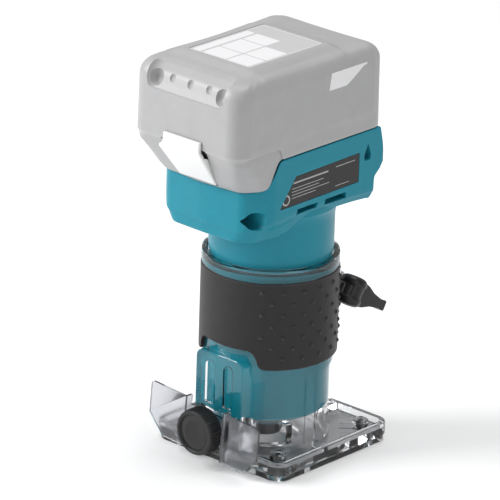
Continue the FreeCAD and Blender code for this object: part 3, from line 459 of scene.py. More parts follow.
# rows of raised dots: (height, angle of the first one in degrees)
BUMP_ROWS = ((98.5, -54.3), (86.0, -54.3), (73.4, -54.3), (61.5, -36.8), (92.2, -45.7), (79.7, -45.7),
             (67.4, -45.7))
BUMP_STEP = 17.5
BUMP_RADIUS = 1.4
BUMP_HEIGHT = 1.05
# in degrees: where the rows of dots end, and the gap they leave for the clamp ears
BUMP_LAST = 212
LUG_GAP = (73, 107)


def bump_places():
    """Heights and angles of the raised dots, from the right flank round the back to the left flank."""
    for height, first in BUMP_ROWS:
        for step in range(16):
            angle = first + BUMP_STEP * step
            if angle > BUMP_LAST:
                break
            if not LUG_GAP[0] < angle < LUG_GAP[1]:
                yield height, angle


def grip_sleeve():
    """The rubber sleeve, with its arched front edge, raised dots and the gap round the clamp ears."""
    columns = 560
    rows = 84
    edge = 0.7
    # the outer rows from the lower edge to the top, then two inner rows back down
    loops = [[] for row in range(rows + 3)]
    for column in range(columns):
        angle = 2 * pi * column / columns
        near = []
        for height, at in bump_places():
            gap = (angle - radians(at) + pi) % (2 * pi) - pi
            if abs(gap) * SLEEVE_OUT < BUMP_RADIUS:
                near.append((height, gap * SLEEVE_OUT))
        low = along(ARCH, abs((degrees(angle) + 270) % 360 - 180))
        for row in range(rows + 1):
            z = low + (SLEEVE_TOP - low) * row / rows
            radius = SLEEVE_OUT
            for over in (z - low, SLEEVE_TOP - z):
                if over < edge:
                    radius -= edge - sqrt(max(0.0, edge ** 2 - (edge - over) ** 2))
            for height, across in near:
                off = hypot(z - height, across) / BUMP_RADIUS
                if off < 1:
                    radius += BUMP_HEIGHT * (1 - off * off) ** 1.2
            loops[row].append((radius * cos(angle), radius * sin(angle), z))
        for row, z in ((rows + 1, loops[rows][-1][2]), (rows + 2, low)):
            loops[row].append((SLEEVE_IN * cos(angle), SLEEVE_IN * sin(angle), z))
    sleeve = rings("rubber_grip", loops, closed=True)
    lug_gap = prism("lug_gap", "y", (20, 45), rounded([
        (-8.7, 50, 0), (8.7, 50, 0), (8.7, 97.4, 2.5), (-8.7, 97.4, 2.5)]))
    slit = block("slit", (-1.5, 1.5), (20, 45), (90, 110))
    combine(sleeve, lug_gap, slit)
    piece(sleeve, "base", "rubber", ["grip_sleeve"])


# ------ clear base

PLATE_SIDE = 45.2
PLATE_FRONT = -38.9
PLATE_BACK = 50.8
PLATE_TOP = 10.7
PLATE_WALL = 3.2
SOLE_TOP = 3.4
FLOOR_TOP = 6.4
RECESS = 7.4
# the tube grips the barrel, so its bore lies just inside the barrel's skin
TUBE_BORE = 31.05
TUBE_OUT = 33.3
BRACKET_HALF = 16.5
BOLT_PLACE = (46, 78.6)
KNOB_HEIGHT = 21.0
FOOT_SCREWS = [(x, y) for x in (-32.5, 32.5) for y in (-26.0, 40.0)]


def plate_form(name, inset, low, high):
    """The base plate's rounded square, drawn in by inset."""
    side = PLATE_SIDE - inset
    return block(name, (-side, side), (PLATE_FRONT + inset, PLATE_BACK - inset), (low, high), 8.0, "z", 8)


def sole():
    """The clear sole plate under the base."""
    plate = plate_form("clear_sole", 0.6, 0.0, SOLE_TOP - 0.06)
    soften(plate, 0.5)
    tools = [disc("hole", [(15.0, -1), (15.0, 5)], 72)]
    for spot in FOOT_SCREWS:
        tools.append(disc("countersink", [(4.0, -1), (4.0, 0), (1.6, 2.5), (1.6, 5)], 32, spot))
    combine(plate, *tools)
    piece(plate, "base", "clear", ["sole_plate"])


def base_moulding():
    """The clear plate, tube, bracket and clamp ears as the one moulding they are."""
    body = plate_form("clear_base", 0, SOLE_TOP, PLATE_TOP)
    soften(body, 0.6, 2)
    side = PLATE_SIDE - PLATE_WALL
    front = PLATE_FRONT + PLATE_WALL
    back = PLATE_BACK - PLATE_WALL
    pockets = (
        [(17.6, front, 1), (side, front, 4.8), (side, -1.3, 1), (34.4, -1.3, 1), (34.4, -1.4, 0),
         (30.5, -15.5, 6), (17.6, -29.4, 1)],
        [(34.4, 1.3, 1), (side, 1.3, 1), (side, back, 4.8), (9.4, back, 1), (9.4, 33.2, 1), (24.0, 24.6, 6)])
    cuts = []
    for sign in (-1, 1):
        for pocket in pockets:
            outline = rounded([(sign * x, y, radius) for x, y, radius in pocket], 6)
            cuts.append(prism("pocket", "z", (RECESS, PLATE_TOP + 1), outline))
    combine(body, *cuts)
    bosses = [disc("boss", [(4.6, RECESS - 0.5), (4.3, PLATE_TOP - 0.4), (3.9, PLATE_TOP - 0.1)], 32, spot)
              for spot in FOOT_SCREWS]
    ribs = []
    for x, y, turn in ((33, -22, -52), (-33, -22, 52), (33, 33, 44), (-33, 33, -44)):
        rib = block("rib", (-7, 7), (-0.6, 0.6), (RECESS - 0.5, PLATE_TOP - 0.6))
        rib.data.transform(shift(x, y, 0) @ Matrix.Rotation(radians(turn), 4, "Z"))
        ribs.append(rib)
    tube = disc("tube", [(TUBE_OUT, SOLE_TOP + 1), (TUBE_OUT, 47.0), (34.7, 50.0), (34.7, 103.2),
                         (35.6, 103.7), (36.5, 104.1), (36.7, 104.6), (36.7, 109.9), (36.4, 110.7),
                         (35.8, 111.0), (34.4, 111.0), (30.0, 111.0)], 144)
    bracket = prism("bracket", "y", (-38.4, -27.5), rounded([
        (-BRACKET_HALF, RECESS, 0), (BRACKET_HALF, RECESS, 0), (BRACKET_HALF, 60, 4.5),
        (-BRACKET_HALF, 60, 4.5)], 5))
    soften(bracket, 0.9, 3)
    lugs = prism("lugs", "x", (-8.3, 8.3), rounded([
        (28, 42, 0), (34, 42, 1), (46, 64, 4), (52.0, 70.5, 3), (53.5, 78, 5), (51, 85.5, 4), (38, 97, 3),
        (28, 97, 0)], 5))
    soften(lugs, 0.7, 2)
    boss = disc("boss_front", [(7.0, -36), (7.0, -44.3), (6.5, -44.8)], 48, (0, KNOB_HEIGHT), "y")
    seams = []
    for turn in (-10, 3):
        seam = block("seam", (33.0, 33.7), (-0.3, 0.3), (9.0, 53.0), 0.1)
        seam.data.transform(Matrix.Rotation(radians(turn), 4, "Z"))
        seams.append(seam)
    combine(body, *bosses, *ribs, *seams, tube, bracket, lugs, boss, how="UNION")
    tools = [
        disc("bore", [(18.0, -1), (18.0, FLOOR_TOP), (TUBE_BORE, FLOOR_TOP), (TUBE_BORE, 105.0),
                      (31.35, 106.6), (32.15, 107.7), (32.95, 108.5), (33.15, 109.4), (33.15, 110.2),
                      (34.0, 111.2), (34.0, 113)], 144),
        block("slit", (-1.5, 1.5), (20, 60), (42, 113)),
        disc("insert", [(4.2, -50), (4.2, -36.9)], 40, (0, KNOB_HEIGHT), "y"),
        disc("bolt", [(2.6, -20), (2.6, 20)], 32, BOLT_PLACE, "x"),
    ]
    for sign in (-1, 1):
        tools.append(prism("channel", "y", (-42, -36.8), rounded([
            (sign * 3.2, 31, 1), (sign * 9.4, 31, 1), (sign * 9.4, 55.5, 3.0), (sign * 3.2, 55.5, 3.0)], 5)))
        tools.append(block("window", sorted((sign * BRACKET_HALF, sign * 29.0)), (-45, -12),
                           (PLATE_TOP, 23.5), 1.5, "y"))
    for spot in FOOT_SCREWS:
        tools.append(disc("pilot", [(1.5, 0), (1.5, PLATE_TOP - 1.5)], 24, spot))
    combine(body, *tools)
    nodes = ["clear_plate", "clear_tube", "front_bracket", "clamp_lugs"]
    piece(body, "base", "clear", nodes, 28.0)


# ------ outlines by angle


def reach(outline, centre, angle):
    """How far an outline lies from a centre in one direction."""
    direction = Vector((cos(angle), sin(angle)))
    best = 0.0
    for start, end in zip(outline, outline[1:] + outline[:1]):
        side = Vector(end) - Vector(start)
        arm = Vector(start) - centre
        cross = direction.x * side.y - direction.y * side.x
        if abs(cross) < 1e-9:
            continue
        share = (direction.y * arm.x - direction.x * arm.y) / cross
        length = (arm.x * side.y - arm.y * side.x) / cross
        if -1e-6 <= share <= 1 + 1e-6 and length > best:
            best = length
    return best


def directions(outline, centre, spacing):
    """Angles about a centre of points along an outline, in rising order."""
    found = sorted(atan2(y - centre.y, x - centre.x) for x, y in resampled(outline, spacing))
    return [angle for before, angle in zip([-9.0] + found, found) if angle - before > 0.0015]


def mirrored(corners):
    """Right-hand (x, y, radius) corners with their left-hand twins, as one closed outline."""
    twins = [(-x, y, r) for x, y, r in reversed(corners) if abs(x) > 1e-6]
    return rounded(corners + twins, 8)


# ------ motor unit

HEAD_SIDE = 37.5
HEAD_CENTRE = Vector((0.0, -5.0))
# plans of the head at its walls, its crease, its foot and the inside of its rim
HEAD_PLAN = mirrored([(0, -56, 60), (26.0, -53.9, 8), (37.5, -42.2, 7), (37.5, 46.0, 3.0)])
CREASE_PLAN = mirrored([(0, -55.4, 60), (25.0, -54.0, 9), (32.2, -47.0, 7), (33.9, -33, 10), (36.5, -10, 20),
                        (37.2, 8, 20), (37.2, 46.0, 3.0)])
FOOT_PLAN = mirrored([(0, -54.6, 60), (21.5, -54.0, 9), (29.6, -47.2, 8), (31.9, -31, 10), (33.9, -12, 20),
                      (35.6, 6, 20), (35.8, 42, 3.5)])
LIP_PLAN = mirrored([(0, -53.3, 60), (23.4, -50.6, 10), (31.3, -43, 6), (31.3, 38.5, 1.5)])
# heights of the rim, the crease and the foot against y, and the back wall's y against height
RIM = ((-60, 161.4), (-53, 161.8), (-49.5, 162.3), (-47.2, 163.0), (-45.4, 164.1), (-44.0, 165.7),
       (-42.9, 167.8), (-39.0, 175.2), (-38.0, 176.6), (-36.6, 177.6), (-34.6, 177.9))
CREASE = ((-60, 139.0), (-36, 139.3), (-28, 140.8), (-18, 144.0), (-10, 145.3), (36, 142.9), (50, 142.5))
FOOT = ((-60, 133.2), (-33, 133.2), (-29, 133.7), (-24, 136.2), (-19, 138.8), (-14, 140.2), (-8, 140.9),
        (30, 139.6), (50, 138.0))
BACK = ((133, 31.5), (136, 33.0), (139.9, 36.7), (143, 37.1), (150, 37.4), (151.5, 37.9), (158.2, 45.5),
        (159.4, 45.9), (178, 41.2))
HEAD_FLOOR = 160.0


def head_section(angle):
    """One upright section of the head, from its underside over the rim to the floor of the pack's recess."""
    upper = reach(HEAD_PLAN, HEAD_CENTRE, angle)
    middle = reach(CREASE_PLAN, HEAD_CENTRE, angle)
    lower = reach(FOOT_PLAN, HEAD_CENTRE, angle)
    lip = reach(LIP_PLAN, HEAD_CENTRE, angle)
    y = HEAD_CENTRE.y + upper * sin(angle)
    top = eased(RIM, y, 0.5)
    crease = eased(CREASE, y, 6.0)
    foot = eased(FOOT, y, 5.0)
    blend = 1.5 + min(5.5, 1.5 * (upper - middle))
    band_low = foot + 1.3
    band_high = crease - 0.12
    section = [(18, 143.0), (29, foot + 0.3), (lower - 1.5, foot), (lower - 0.45, foot + 0.4),
               (lower, band_low)]
    for part in (0.25, 0.5, 0.75, 1.0):
        section.append((lower + (middle - 0.4 - lower) * part, band_low + (band_high - band_low) * part))
    section.append((middle - 0.05, crease + 0.14))
    for part in range(1, 7):
        share = part / 6
        radius = middle + (upper - middle) * sin(share * pi / 2)
        section.append((radius, crease + 0.14 + (blend - 0.14) * share))
    rim_low = 159.6
    for z in (149.5, 151.0, 152.0, 155.0, 157.9, 158.8, rim_low):
        section.append((upper, z))
    for part in range(1, 13):
        section.append((upper, rim_low + (top - 0.75 - rim_low) * part / 12))
    section += [(upper - 0.1, top - 0.35), (upper - 0.35, top - 0.1), (upper - 0.75, top)]
    section += [(lip + 0.35, top), (lip, top - 0.35), (lip, HEAD_FLOOR)]
    return section


def head():
    """The two head shells and their pack rails."""
    angles = directions(HEAD_PLAN, HEAD_CENTRE, 0.8)
    sections = [head_section(angle) for angle in angles]
    rows = []
    for level in range(len(sections[0])):
        row = []
        for angle, section in zip(angles, sections):
            radius, z = section[level]
            x, y = polar(HEAD_CENTRE, radius, angle)
            row.append((x, min(y, along(BACK, z)), z))
        rows.append(row)
    body = rings("head", rows)
    plate_seat = rounded([(-37.1, 150.9, 0.8), (25.1, 151.1, 0.8), (25.1, 167.5, 0.8), (-24.8, 166.9, 0.8)])
    tools = [prism("plate_seat", "x", (HEAD_SIDE - 0.75, HEAD_SIDE + 2), plate_seat)]
    drop = rounded([(-44.6, 151.2, 4.7), (-44.6, 141.4, 4.7), (-50.2, 141.4, 3.5), (-54.0, 146.2, 1.6),
                    (-50.2, 151.2, 3.5)], 8)
    tools.append(prism("front_screw_seat", "x", (20.0, 40), drop))
    drop = rounded([(34.2, 161.6, 2.6), (28.8, 161.6, 2.6), (28.9, 165.0, 1.5), (31.5, 171.0, 0.3),
                    (34.1, 165.0, 1.5)], 6)
    tools.append(prism("back_screw_seat", "x", (31.2, 40), drop))
    tools.append(disc("left_screw_seat", [(3.4, -40), (3.4, -31.0)], 32, (31.5, 145.0), "x"))
    for y in ((-23, -7), (-1.3, 15.2)):
        tools.append(block("vent", (30.5, 40), y, (144.8, 148.2), 0.4, "x", 3))
        tools.append(block("left_vent", (-40, -30.5), y, (140.9, 143.2), 0.4, "x", 3))
    tools.append(block("slide_seat", (-40, -33.3), (-13, 13), (147, 157), 1.2, "x", 5))
    tools.append(block("latch_slot", (-7.5, 7.5), (-52.8, -49.0), (158, 163), 0.8))
    tools.append(block("drain", (29.5, 35), (-29.5, -25.5), (131, 134.6), 0.6))
    combine(body, *tools)
    for sign, hand in ((1, "right"), (-1, "left")):
        half = body.copy()
        half.data = body.data.copy()
        scene.collection.objects.link(half)
        half.name = "head_" + hand
        keep = block("keep", sorted((sign * 0.05, sign * 60)), (-80, 80), (100, 200))
        combine(half, keep, how="INTERSECT")
        shell = "head_shell_" + hand
        piece(half, "motor_unit", "teal", [shell], 26.0)
        rail = block("rail_" + hand, sorted((sign * 27.6, sign * 31.6)), (-36.0, 38.5), (168.0, 171.5))
        soften(rail, 0.4)
        piece(rail, "motor_unit", "teal")
    discard(body)


def name_plate():
    """The black plate, with blank bars and a ring in place of any lettering."""
    plate = prism("side_plate", "x", (HEAD_SIDE - 0.7, HEAD_SIDE - 0.12), rounded([
        (-36.8, 151.1, 0.7), (24.9, 151.3, 0.7), (24.9, 167.3, 0.7), (-24.7, 166.7, 0.7)]))
    soften(plate, 0.12, 2)
    piece(plate, "motor_unit", "film", ["name_plate"])
    low = HEAD_SIDE - 0.13
    high = HEAD_SIDE - 0.09
    bars = []
    for start, end, z, height in (
            (-26.6, 0.5, 163.4, 0.8), (-27.6, -3.0, 160.4, 0.35), (-27.6, -6.5, 158.7, 0.35),
            (-27.6, 1.5, 157.0, 0.35), (-27.6, -9.0, 155.3, 0.35), (6.5, 21.5, 164.2, 0.4),
            (6.5, 17.0, 153.6, 0.35)):
        bars.append(block("bar", (low, high), (start, end), (z - height / 2, z + height / 2), 0.1, "x"))
    marks = lathe("plate_marks", [(2.1, low), (2.9, low), (2.9, high), (2.1, high)], 48, (-31.8, 155.2), "x")
    join(marks, bars)
    piece(marks, "motor_unit", "ink", flats=False)


def case_screws():
    """The three cross-head screws in their seats: (y, z, x of the seat, side, head radius)."""
    screws = []
    for y, z, x, sign, radius in ((-48.0, 146.3, 20.4, 1, 3.0), (31.5, 164.2, 31.2, 1, 2.5),
                                  (31.5, 145.0, -31.0, -1, 3.0)):
        profile = [(radius * 0.99, x - sign * 0.4), (radius, x + sign * 0.9), (radius * 0.8, x + sign * 1.5),
                   (radius * 0.45, x + sign * 1.75), (0.05, x + sign * 1.8)]
        screw = disc("screw", profile, 40, (y, z), "x")
        recess = [block("slot", sorted((x + sign * 0.7, x + sign * 3)), (y - w, y + w), (z - h, z + h))
                  for w, h in ((1.5, 0.35), (0.35, 1.5))]
        combine(screw, *recess)
        screws.append(screw)
    screws[0].name = "case_screws"
    join(screws[0], screws[1:])
    piece(screws[0], "motor_unit", "blackened", ["head_screws"])


def barrel():
    """The barrel inside the clear tube, and the wider neck above it."""
    neck = lathe("barrel_neck", [
        (32.6, 110.4), (32.95, 111.2), (33.05, 111.7), (33.05, 113.2), (33.2, 113.6), (33.2, 132.0),
        (33.35, 134.0), (33.8, 136.2), (34.6, 138.2), (35.6, 139.6), (35.6, 143.0), (30.7, 143.0),
        (30.7, 110.4)], 160)
    piece(neck, "motor_unit", "barrel", ["motor_barrel"])
    body = lathe("barrel", [
        (7.7, 24.0), (29.0, 24.0), (30.1, 24.3), (30.8, 25.0), (31.1, 26.1), (31.1, 107.2), (31.4, 108.6),
        (32.2, 109.7), (32.6, 110.4), (30.7, 110.4), (28.4, 108.0), (28.4, 28.5), (16.5, 28.5),
        (16.5, 36.5), (13.0, 36.5), (13.0, 28.5), (7.7, 28.5)], 160)
    count = 12
    slots = [block("slot", (18.5, 26.5), (-1.3, 1.3), (22, 29), 1.2) for step in range(count)]
    for step, slot in enumerate(slots):
        slot.data.transform(Matrix.Rotation(2 * pi * step / count, 4, "Z"))
    combine(body, *slots)
    # the barrel body, seen through the clear tube, takes the teal painted lighter: painted light
    piece(body, "motor_unit", "lighter_teal")


# ------ battery pack

PACK_CENTRE = Vector((0.0, -13.0))
PACK_PLAN = mirrored([(0, -70.8, 0), (37.3, -70.8, 9.0), (37.5, 44.1, 8.0)])
PACK_TOP = 227.0
PACK_SEAM = 185.0
SKIRT = ((-60, PACK_SEAM), (-40, PACK_SEAM), (-37.5, 183.5), (-35.5, 178.6), (50, 178.6))


def scoop():
    """The space of the scooped front edge: level in the middle, swinging out forwards at both ends."""
    profile = rounded([
        (-78, 209.6, 0), (-71.2, 209.8, 0), (-68.9, 210.9, 1), (-67.4, 214.5, 4), (-65.6, 219.3, 6),
        (-60.6, 223.2, 6), (-51.0, 226.4, 2), (-50, 236, 0), (-78, 236, 0)], 6)
    flat_half = 21.5
    fade = 5.5
    half_rows = 20
    flat_rows = 10
    rows = []
    # half steps keep every row off the crown's middle line
    for step in [count + 0.5 for count in range(-half_rows, half_rows)]:
        turn = max(0, abs(step) - flat_rows) / (half_rows - 0.5 - flat_rows) * pi / 2
        x = copysign(flat_half * min(1.0, abs(step) / flat_rows) + fade * sin(turn), step)
        out = fade * (1 - cos(turn))
        rows.append([(x, y - 0.72 * out, z + 0.4 * out) for y, z in profile])
    return rings("scoop", rows)


def side_panel(x, y, z):
    """How far the case's long sides stand out behind their arched front edge."""
    arch = min(1.0, max(0.0, z - 211.0) / 13.0)
    start = -62.0 + 10.0 * (1 - sqrt(1 - arch * arch))
    inside = smooth(start - 0.7, start + 0.7, y) * (1 - smooth(34.8, 36.2, y))
    raised = 0.5 * inside * smooth(26.0, 31.0, abs(x))
    return raised * smooth(185.5, 188.5, z) * (1 - smooth(222.0, 226.0, z))


def pack_case():
    """The case's skin: skirt, walls with a little draft, round edge and crown; then its label and stripe."""
    angles = directions(PACK_PLAN, PACK_CENTRE, 1.0)
    edge = 8.5
    fall = 3.1
    draft = 0.5
    skirt = ((3.0, 0.0), (0.35, 0.0), (0.0, 0.35))
    # first levels of the walls, the round edge and the crown, and how many there are
    wall_start = len(skirt)
    edge_start = 26
    crown_start = 42
    levels = 72
    edge_low = PACK_TOP - fall - edge
    rows = []
    for level in range(levels):
        row = []
        for angle in angles:
            wall = reach(PACK_PLAN, PACK_CENTRE, angle)
            y = PACK_CENTRE.y + wall * sin(angle)
            low = along(SKIRT, y)
            if level < wall_start:
                radius = wall - skirt[level][0]
                z = low + skirt[level][1]
            elif level < edge_start:
                share = (level - wall_start + 1) / (edge_start - wall_start)
                z = low + 0.35 + (edge_low - low - 0.35) * share
                radius = wall - draft * share
            elif level < crown_start:
                turn = (level - edge_start + 1) / (crown_start - edge_start) * pi / 2
                z = edge_low + edge * sin(turn)
                radius = wall - draft - edge * (1 - cos(turn))
            else:
                share = (level - crown_start + 1) / (levels - crown_start)
                radius = (wall - draft - edge) * (1 - share * 0.985)
                z = PACK_TOP - 0.2 - (fall - 0.2) * (1 - share) ** 1.8
            x, y = polar(PACK_CENTRE, radius, angle)
            # a low raised band across the edge, and a flat in the crown for the label
            raised = smooth(-49.5, -47.5, y) * (1 - smooth(14.5, 16.5, y))
            z += 0.4 * raised * smooth(29, 36, level)
            if level >= crown_start:
                middle = 1 - smooth(22.0, 30.0, abs(x))
                flat = smooth(-54.0, -46.5, y) * (1 - smooth(13.0, 18.0, y)) * middle
                z += max(0.0, PACK_TOP - 0.15 - z) * flat
            row.append((x + copysign(side_panel(x, y, z), x), y, z))
        rows.append(row)
    case = rings("pack_case", rows)
    tools = [scoop()]
    for x, z, radius, depth in ((-22.0, 216.6, 3.9, 2.3), (-12.4, 218.2, 2.3, 1.5), (0.0, 217.8, 2.3, 1.5),
                                (12.8, 218.2, 2.3, 1.5), (22.0, 216.6, 3.9, 2.3)):
        ball = disc("dimple", [(radius * sin(t), radius * cos(t))
                               for t in [pi * (0.02 + 0.96 * k / 16) for k in range(17)]], 32)
        tilt = Matrix.Rotation(radians(-20), 4, "X")
        ball.data.transform(shift(x, -66.4 - radius + depth, z) @ tilt @ Matrix.Diagonal((1, 1, 1.3, 1)))
        tools.append(ball)
    tools.append(block("label_seat", (-21.3, 21.3), (-45.3, 12.3), (PACK_TOP - 0.62, PACK_TOP + 2), 0.8))
    tools.append(block("slide_way", (-15.6, 15.6), (-72, -69.4), (180, 186.0)))
    combine(case, *tools)
    piece(case, "battery", "pack", ["battery_cover"], 44.0)
    stripe = prism("side_stripe", "x", (37.2, 37.62), rounded([
        (-1.1, 207.8, 0.4), (25.3, 207.6, 0.4), (28.2, 216.9, 0.4), (0.3, 216.9, 0.4)]))
    piece(stripe, "battery", "stripe")
    label = block("top_label", (-21, 21), (-45, 12), (PACK_TOP - 0.7, PACK_TOP - 0.32), 0.7)
    soften(label, 0.08, 1)
    piece(label, "battery", "label", ["battery_label"])
    low = PACK_TOP - 0.33
    high = PACK_TOP - 0.27
    panels = [block("panel", x, y, (low, high), 0.5) for x, y in (
        ((-12.5, 3.5), (-44.0, -31.5)), ((4.5, 19.5), (-44.0, -31.5)), ((-12.5, 3.5), (-30.5, -14.5)),
        ((4.5, 19.5), (-30.5, -14.5)), ((-12.5, 3.5), (-13.5, -2.0)), ((-19.5, -14.0), (-44.0, -2.0)))]
    line = 0.35
    for x, y in (((-20.3, 20.3), (11.0, 11.0 + line)), ((-20.3, 20.3), (-44.6 - line, -44.6)),
                 ((-20.3 - line, -20.3), (-44.6, 11.0)), ((20.3, 20.3 + line), (-44.6, 11.0))):
        panels.append(block("line", x, y, (low, high), 0.05))
    join(panels[0], panels[1:])
    panels[0].name = "label_panels"
    piece(panels[0], "battery", "stripe", flats=False)


# the nose's plans by height: (z, corners of the right half)
NOSE_LEVELS = (
    (160.5, [(0, -56.6, 60), (25.8, -54.3, 8), (37.0, -42.8, 7), (36.9, 42.9, 1)]),
    (166.0, [(0, -60.6, 60), (27.6, -58.8, 9), (36.8, -48.5, 8), (36.9, 42.9, 2)]),
    (174.0, [(0, -64.8, 60), (31.6, -63.8, 9), (36.9, -54.5, 8), (36.9, 42.9, 4)]),
    (180.5, [(0, -68.2, 80), (34.6, -67.8, 8), (36.9, -60.5, 6), (36.9, 42.9, 7)]),
    *[(z, [(0, -69.6, 0), (36.7, -69.6, 7.8), (36.9, 42.9, 7)]) for z in (184.0, PACK_SEAM)],
)


def pack_nose():
    """The pack's sloping nose above the head's rim, and the tongue that slides in the head."""
    plans = [(z, mirrored(corners)) for z, corners in NOSE_LEVELS]
    angles = directions(plans[3][1], PACK_CENTRE, 0.8)
    rows = []
    reaches = []
    for angle in angles:
        table = [(z, reach(plan, PACK_CENTRE, angle)) for z, plan in plans]
        # the nose begins where it clears the head's rim
        low = 160.9
        while low < 178.3:
            y = PACK_CENTRE.y + along(table, low) * sin(angle)
            if low > eased(RIM, y, 0.5) + 0.4:
                break
            low += 0.05
        reaches.append((angle, table, low))
    levels = 24
    round_levels = 4
    edge = 1.2
    for level in range(levels):
        row = []
        for angle, table, low in reaches:
            inset = 0.0
            if level <= round_levels:
                turn = level / round_levels * pi / 2
                inset = edge * (1 - sin(turn))
                z = low + edge * (1 - cos(turn))
            else:
                share = (level - round_levels) / (levels - 1 - round_levels)
                z = low + edge + (PACK_SEAM - low - edge) * share
            radius = along(table, z) - inset
            row.append((*polar(PACK_CENTRE, radius, angle), z))
        rows.append(row)
    inner = [(*polar(PACK_CENTRE, 16, angle), 183.0) for angle in angles]
    under = [(x * 0.93, PACK_CENTRE.y + (y - PACK_CENTRE.y) * 0.95, z) for x, y, z in rows[0]]
    nose = rings("pack_nose", [inner, under] + rows)
    bay = [[(-half, -80, z), (half, -80, z), (half, back, z), (-half, back, z)] for z, half, back in (
        (163.3, 13.0, -55.9), (164.9, 13.5, -56.3), (167.6, 13.9, -57.0), (180.8, 15.5, -65.0),
        (182.2, 15.7, -65.8), (190.0, 15.7, -66.2))]
    combine(nose, rings("bay", bay))
    piece(nose, "battery", "pack", ["battery_tray"], 30.0)
    tongue = prism("pack_tongue", "z", (160.5, 183.0), mirrored([
        (0, -52.6, 60), (21.5, -50.6, 8), (30.9, -41.5, 6), (30.9, 19.5, 0.8)]))
    soften(tongue, 0.8, 3)
    grooves = [block("groove", x, (-36.4, 22), (167.6, 171.9)) for x in ((27.2, 33), (-33, -27.2))]
    grooves += [block("blade_slot", (x - 1.3, x + 1.3), (2, 22), (163.3, 174.7)) for x in (-15.0, 0.0, 15.0)]
    grooves.append(block("latch_well", (-6.6, 6.6), (-60, -51.0), (158, 185)))
    arm_bay = [(-80, 190), (-57.5, 190), (-57.5, 165.6), (-80, 165.6)]
    grooves.append(prism("arm_bay", "x", (-16.8, 16.8), arm_bay))
    combine(tongue, *grooves)
    piece(tongue, "battery", "pack")


def button():
    """The white release slide, with its ridge, arm and latch tab; its face is (y, z, half width) rows."""
    rows = []
    for y, z, half in ((-72.0, 190.2, 12.9), (-72.6, 189.6, 13.0), (-73.0, 186.0, 13.0),
                       (-73.2, 184.6, 13.3), (-73.5, 183.6, 14.6), (-73.5, 182.8, 15.2),
                       (-73.1, 182.0, 15.3), (-72.2, 180.8, 15.1), (-60.0, 164.9, 13.1),
                       (-59.4, 164.1, 12.8), (-58.7, 163.8, 12.6)):
        back = min(y + 2.4, -70.95) if z > 181.5 else y + 1.5 + (z - 163.8) * 0.2
        corner = 0.7
        rows.append([(-half + corner, y, z), (half - corner, y, z), (half - 0.1, y + corner, z),
                     (half - 0.3, back, z), (-half + 0.3, back, z), (-half + 0.1, y + corner, z)])
    pad = rings("release_slide", rows)
    bevel = pad.modifiers.new("round", "BEVEL")
    bevel.width = 0.35 * MM
    bevel.segments = 2
    bevel.limit_method = "ANGLE"
    bevel.angle_limit = radians(30)
    settle(pad)
    arm = block("arm", (-4, 4), (-69.3, -51.6), (177.0, 179.6), 0.4)
    tab = block("tab", (-6, 6), (-55.0, -51.6), (160.6, 179.6), 0.5)
    combine(pad, arm, tab, how="UNION")
    piece(pad, "battery_button", "white", ["release_button"], 35.0)


def slide_spring():
    """The slide's return spring: a copy of the CAD spring's mesh, in steel."""
    coil = bpy.data.objects.new("slide_spring", NODES["release_spring"].data.copy())
    scene.collection.objects.link(coil)
    piece(coil, "battery", "steel", ["release_spring"], flats=False)
    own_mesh(coil)


# ------ knob, lever, deflector


def thumb_knob():
    """The knurled knob; its profile is (radius, y, share of the knurl)."""
    ribs = 54
    steps = ribs * 8
    profile = [(2.5, -54.0, 0), (9.3, -54.0, 0), (9.3, -56.1, 0), (9.8, -56.1, 0), (10.1, -56.75, 0),
               (10.5, -57.0, 0), (11.4, -57.0, 0), (11.95, -56.8, 0), (12.2, -56.3, 0.3), (12.35, -55.7, 1),
               (12.5, -54.0, 1), (12.5, -50.0, 1), (12.4, -48.3, 1), (12.1, -47.7, 0.4), (11.6, -47.3, 0),
               (2.5, -47.3, 0)]
    rows = []
    for step in range(steps):
        angle = 2 * pi * step / steps
        wave = 0.5 + 0.5 * cos(ribs * angle)
        row = []
        for radius, y, knurl in profile:
            out = radius + knurl * (0.45 * wave ** 0.7 - 0.2)
            row.append((out * cos(angle), y, KNOB_HEIGHT + out * sin(angle)))
        rows.append(row)
    knob = rings("thumb_knob_cap", rows, closed=True)
    face = disc("face", [(9.4, -54.4), (9.4, -55.9), (9.0, -56.15), (6.2, -56.3), (5.9, -56.1),
                         (0.6, -56.05)], 64, (0, KNOB_HEIGHT), "y")
    join(knob, [face])
    piece(knob, "thumb_screw", "black", ["thumb_knob"], 38.0)


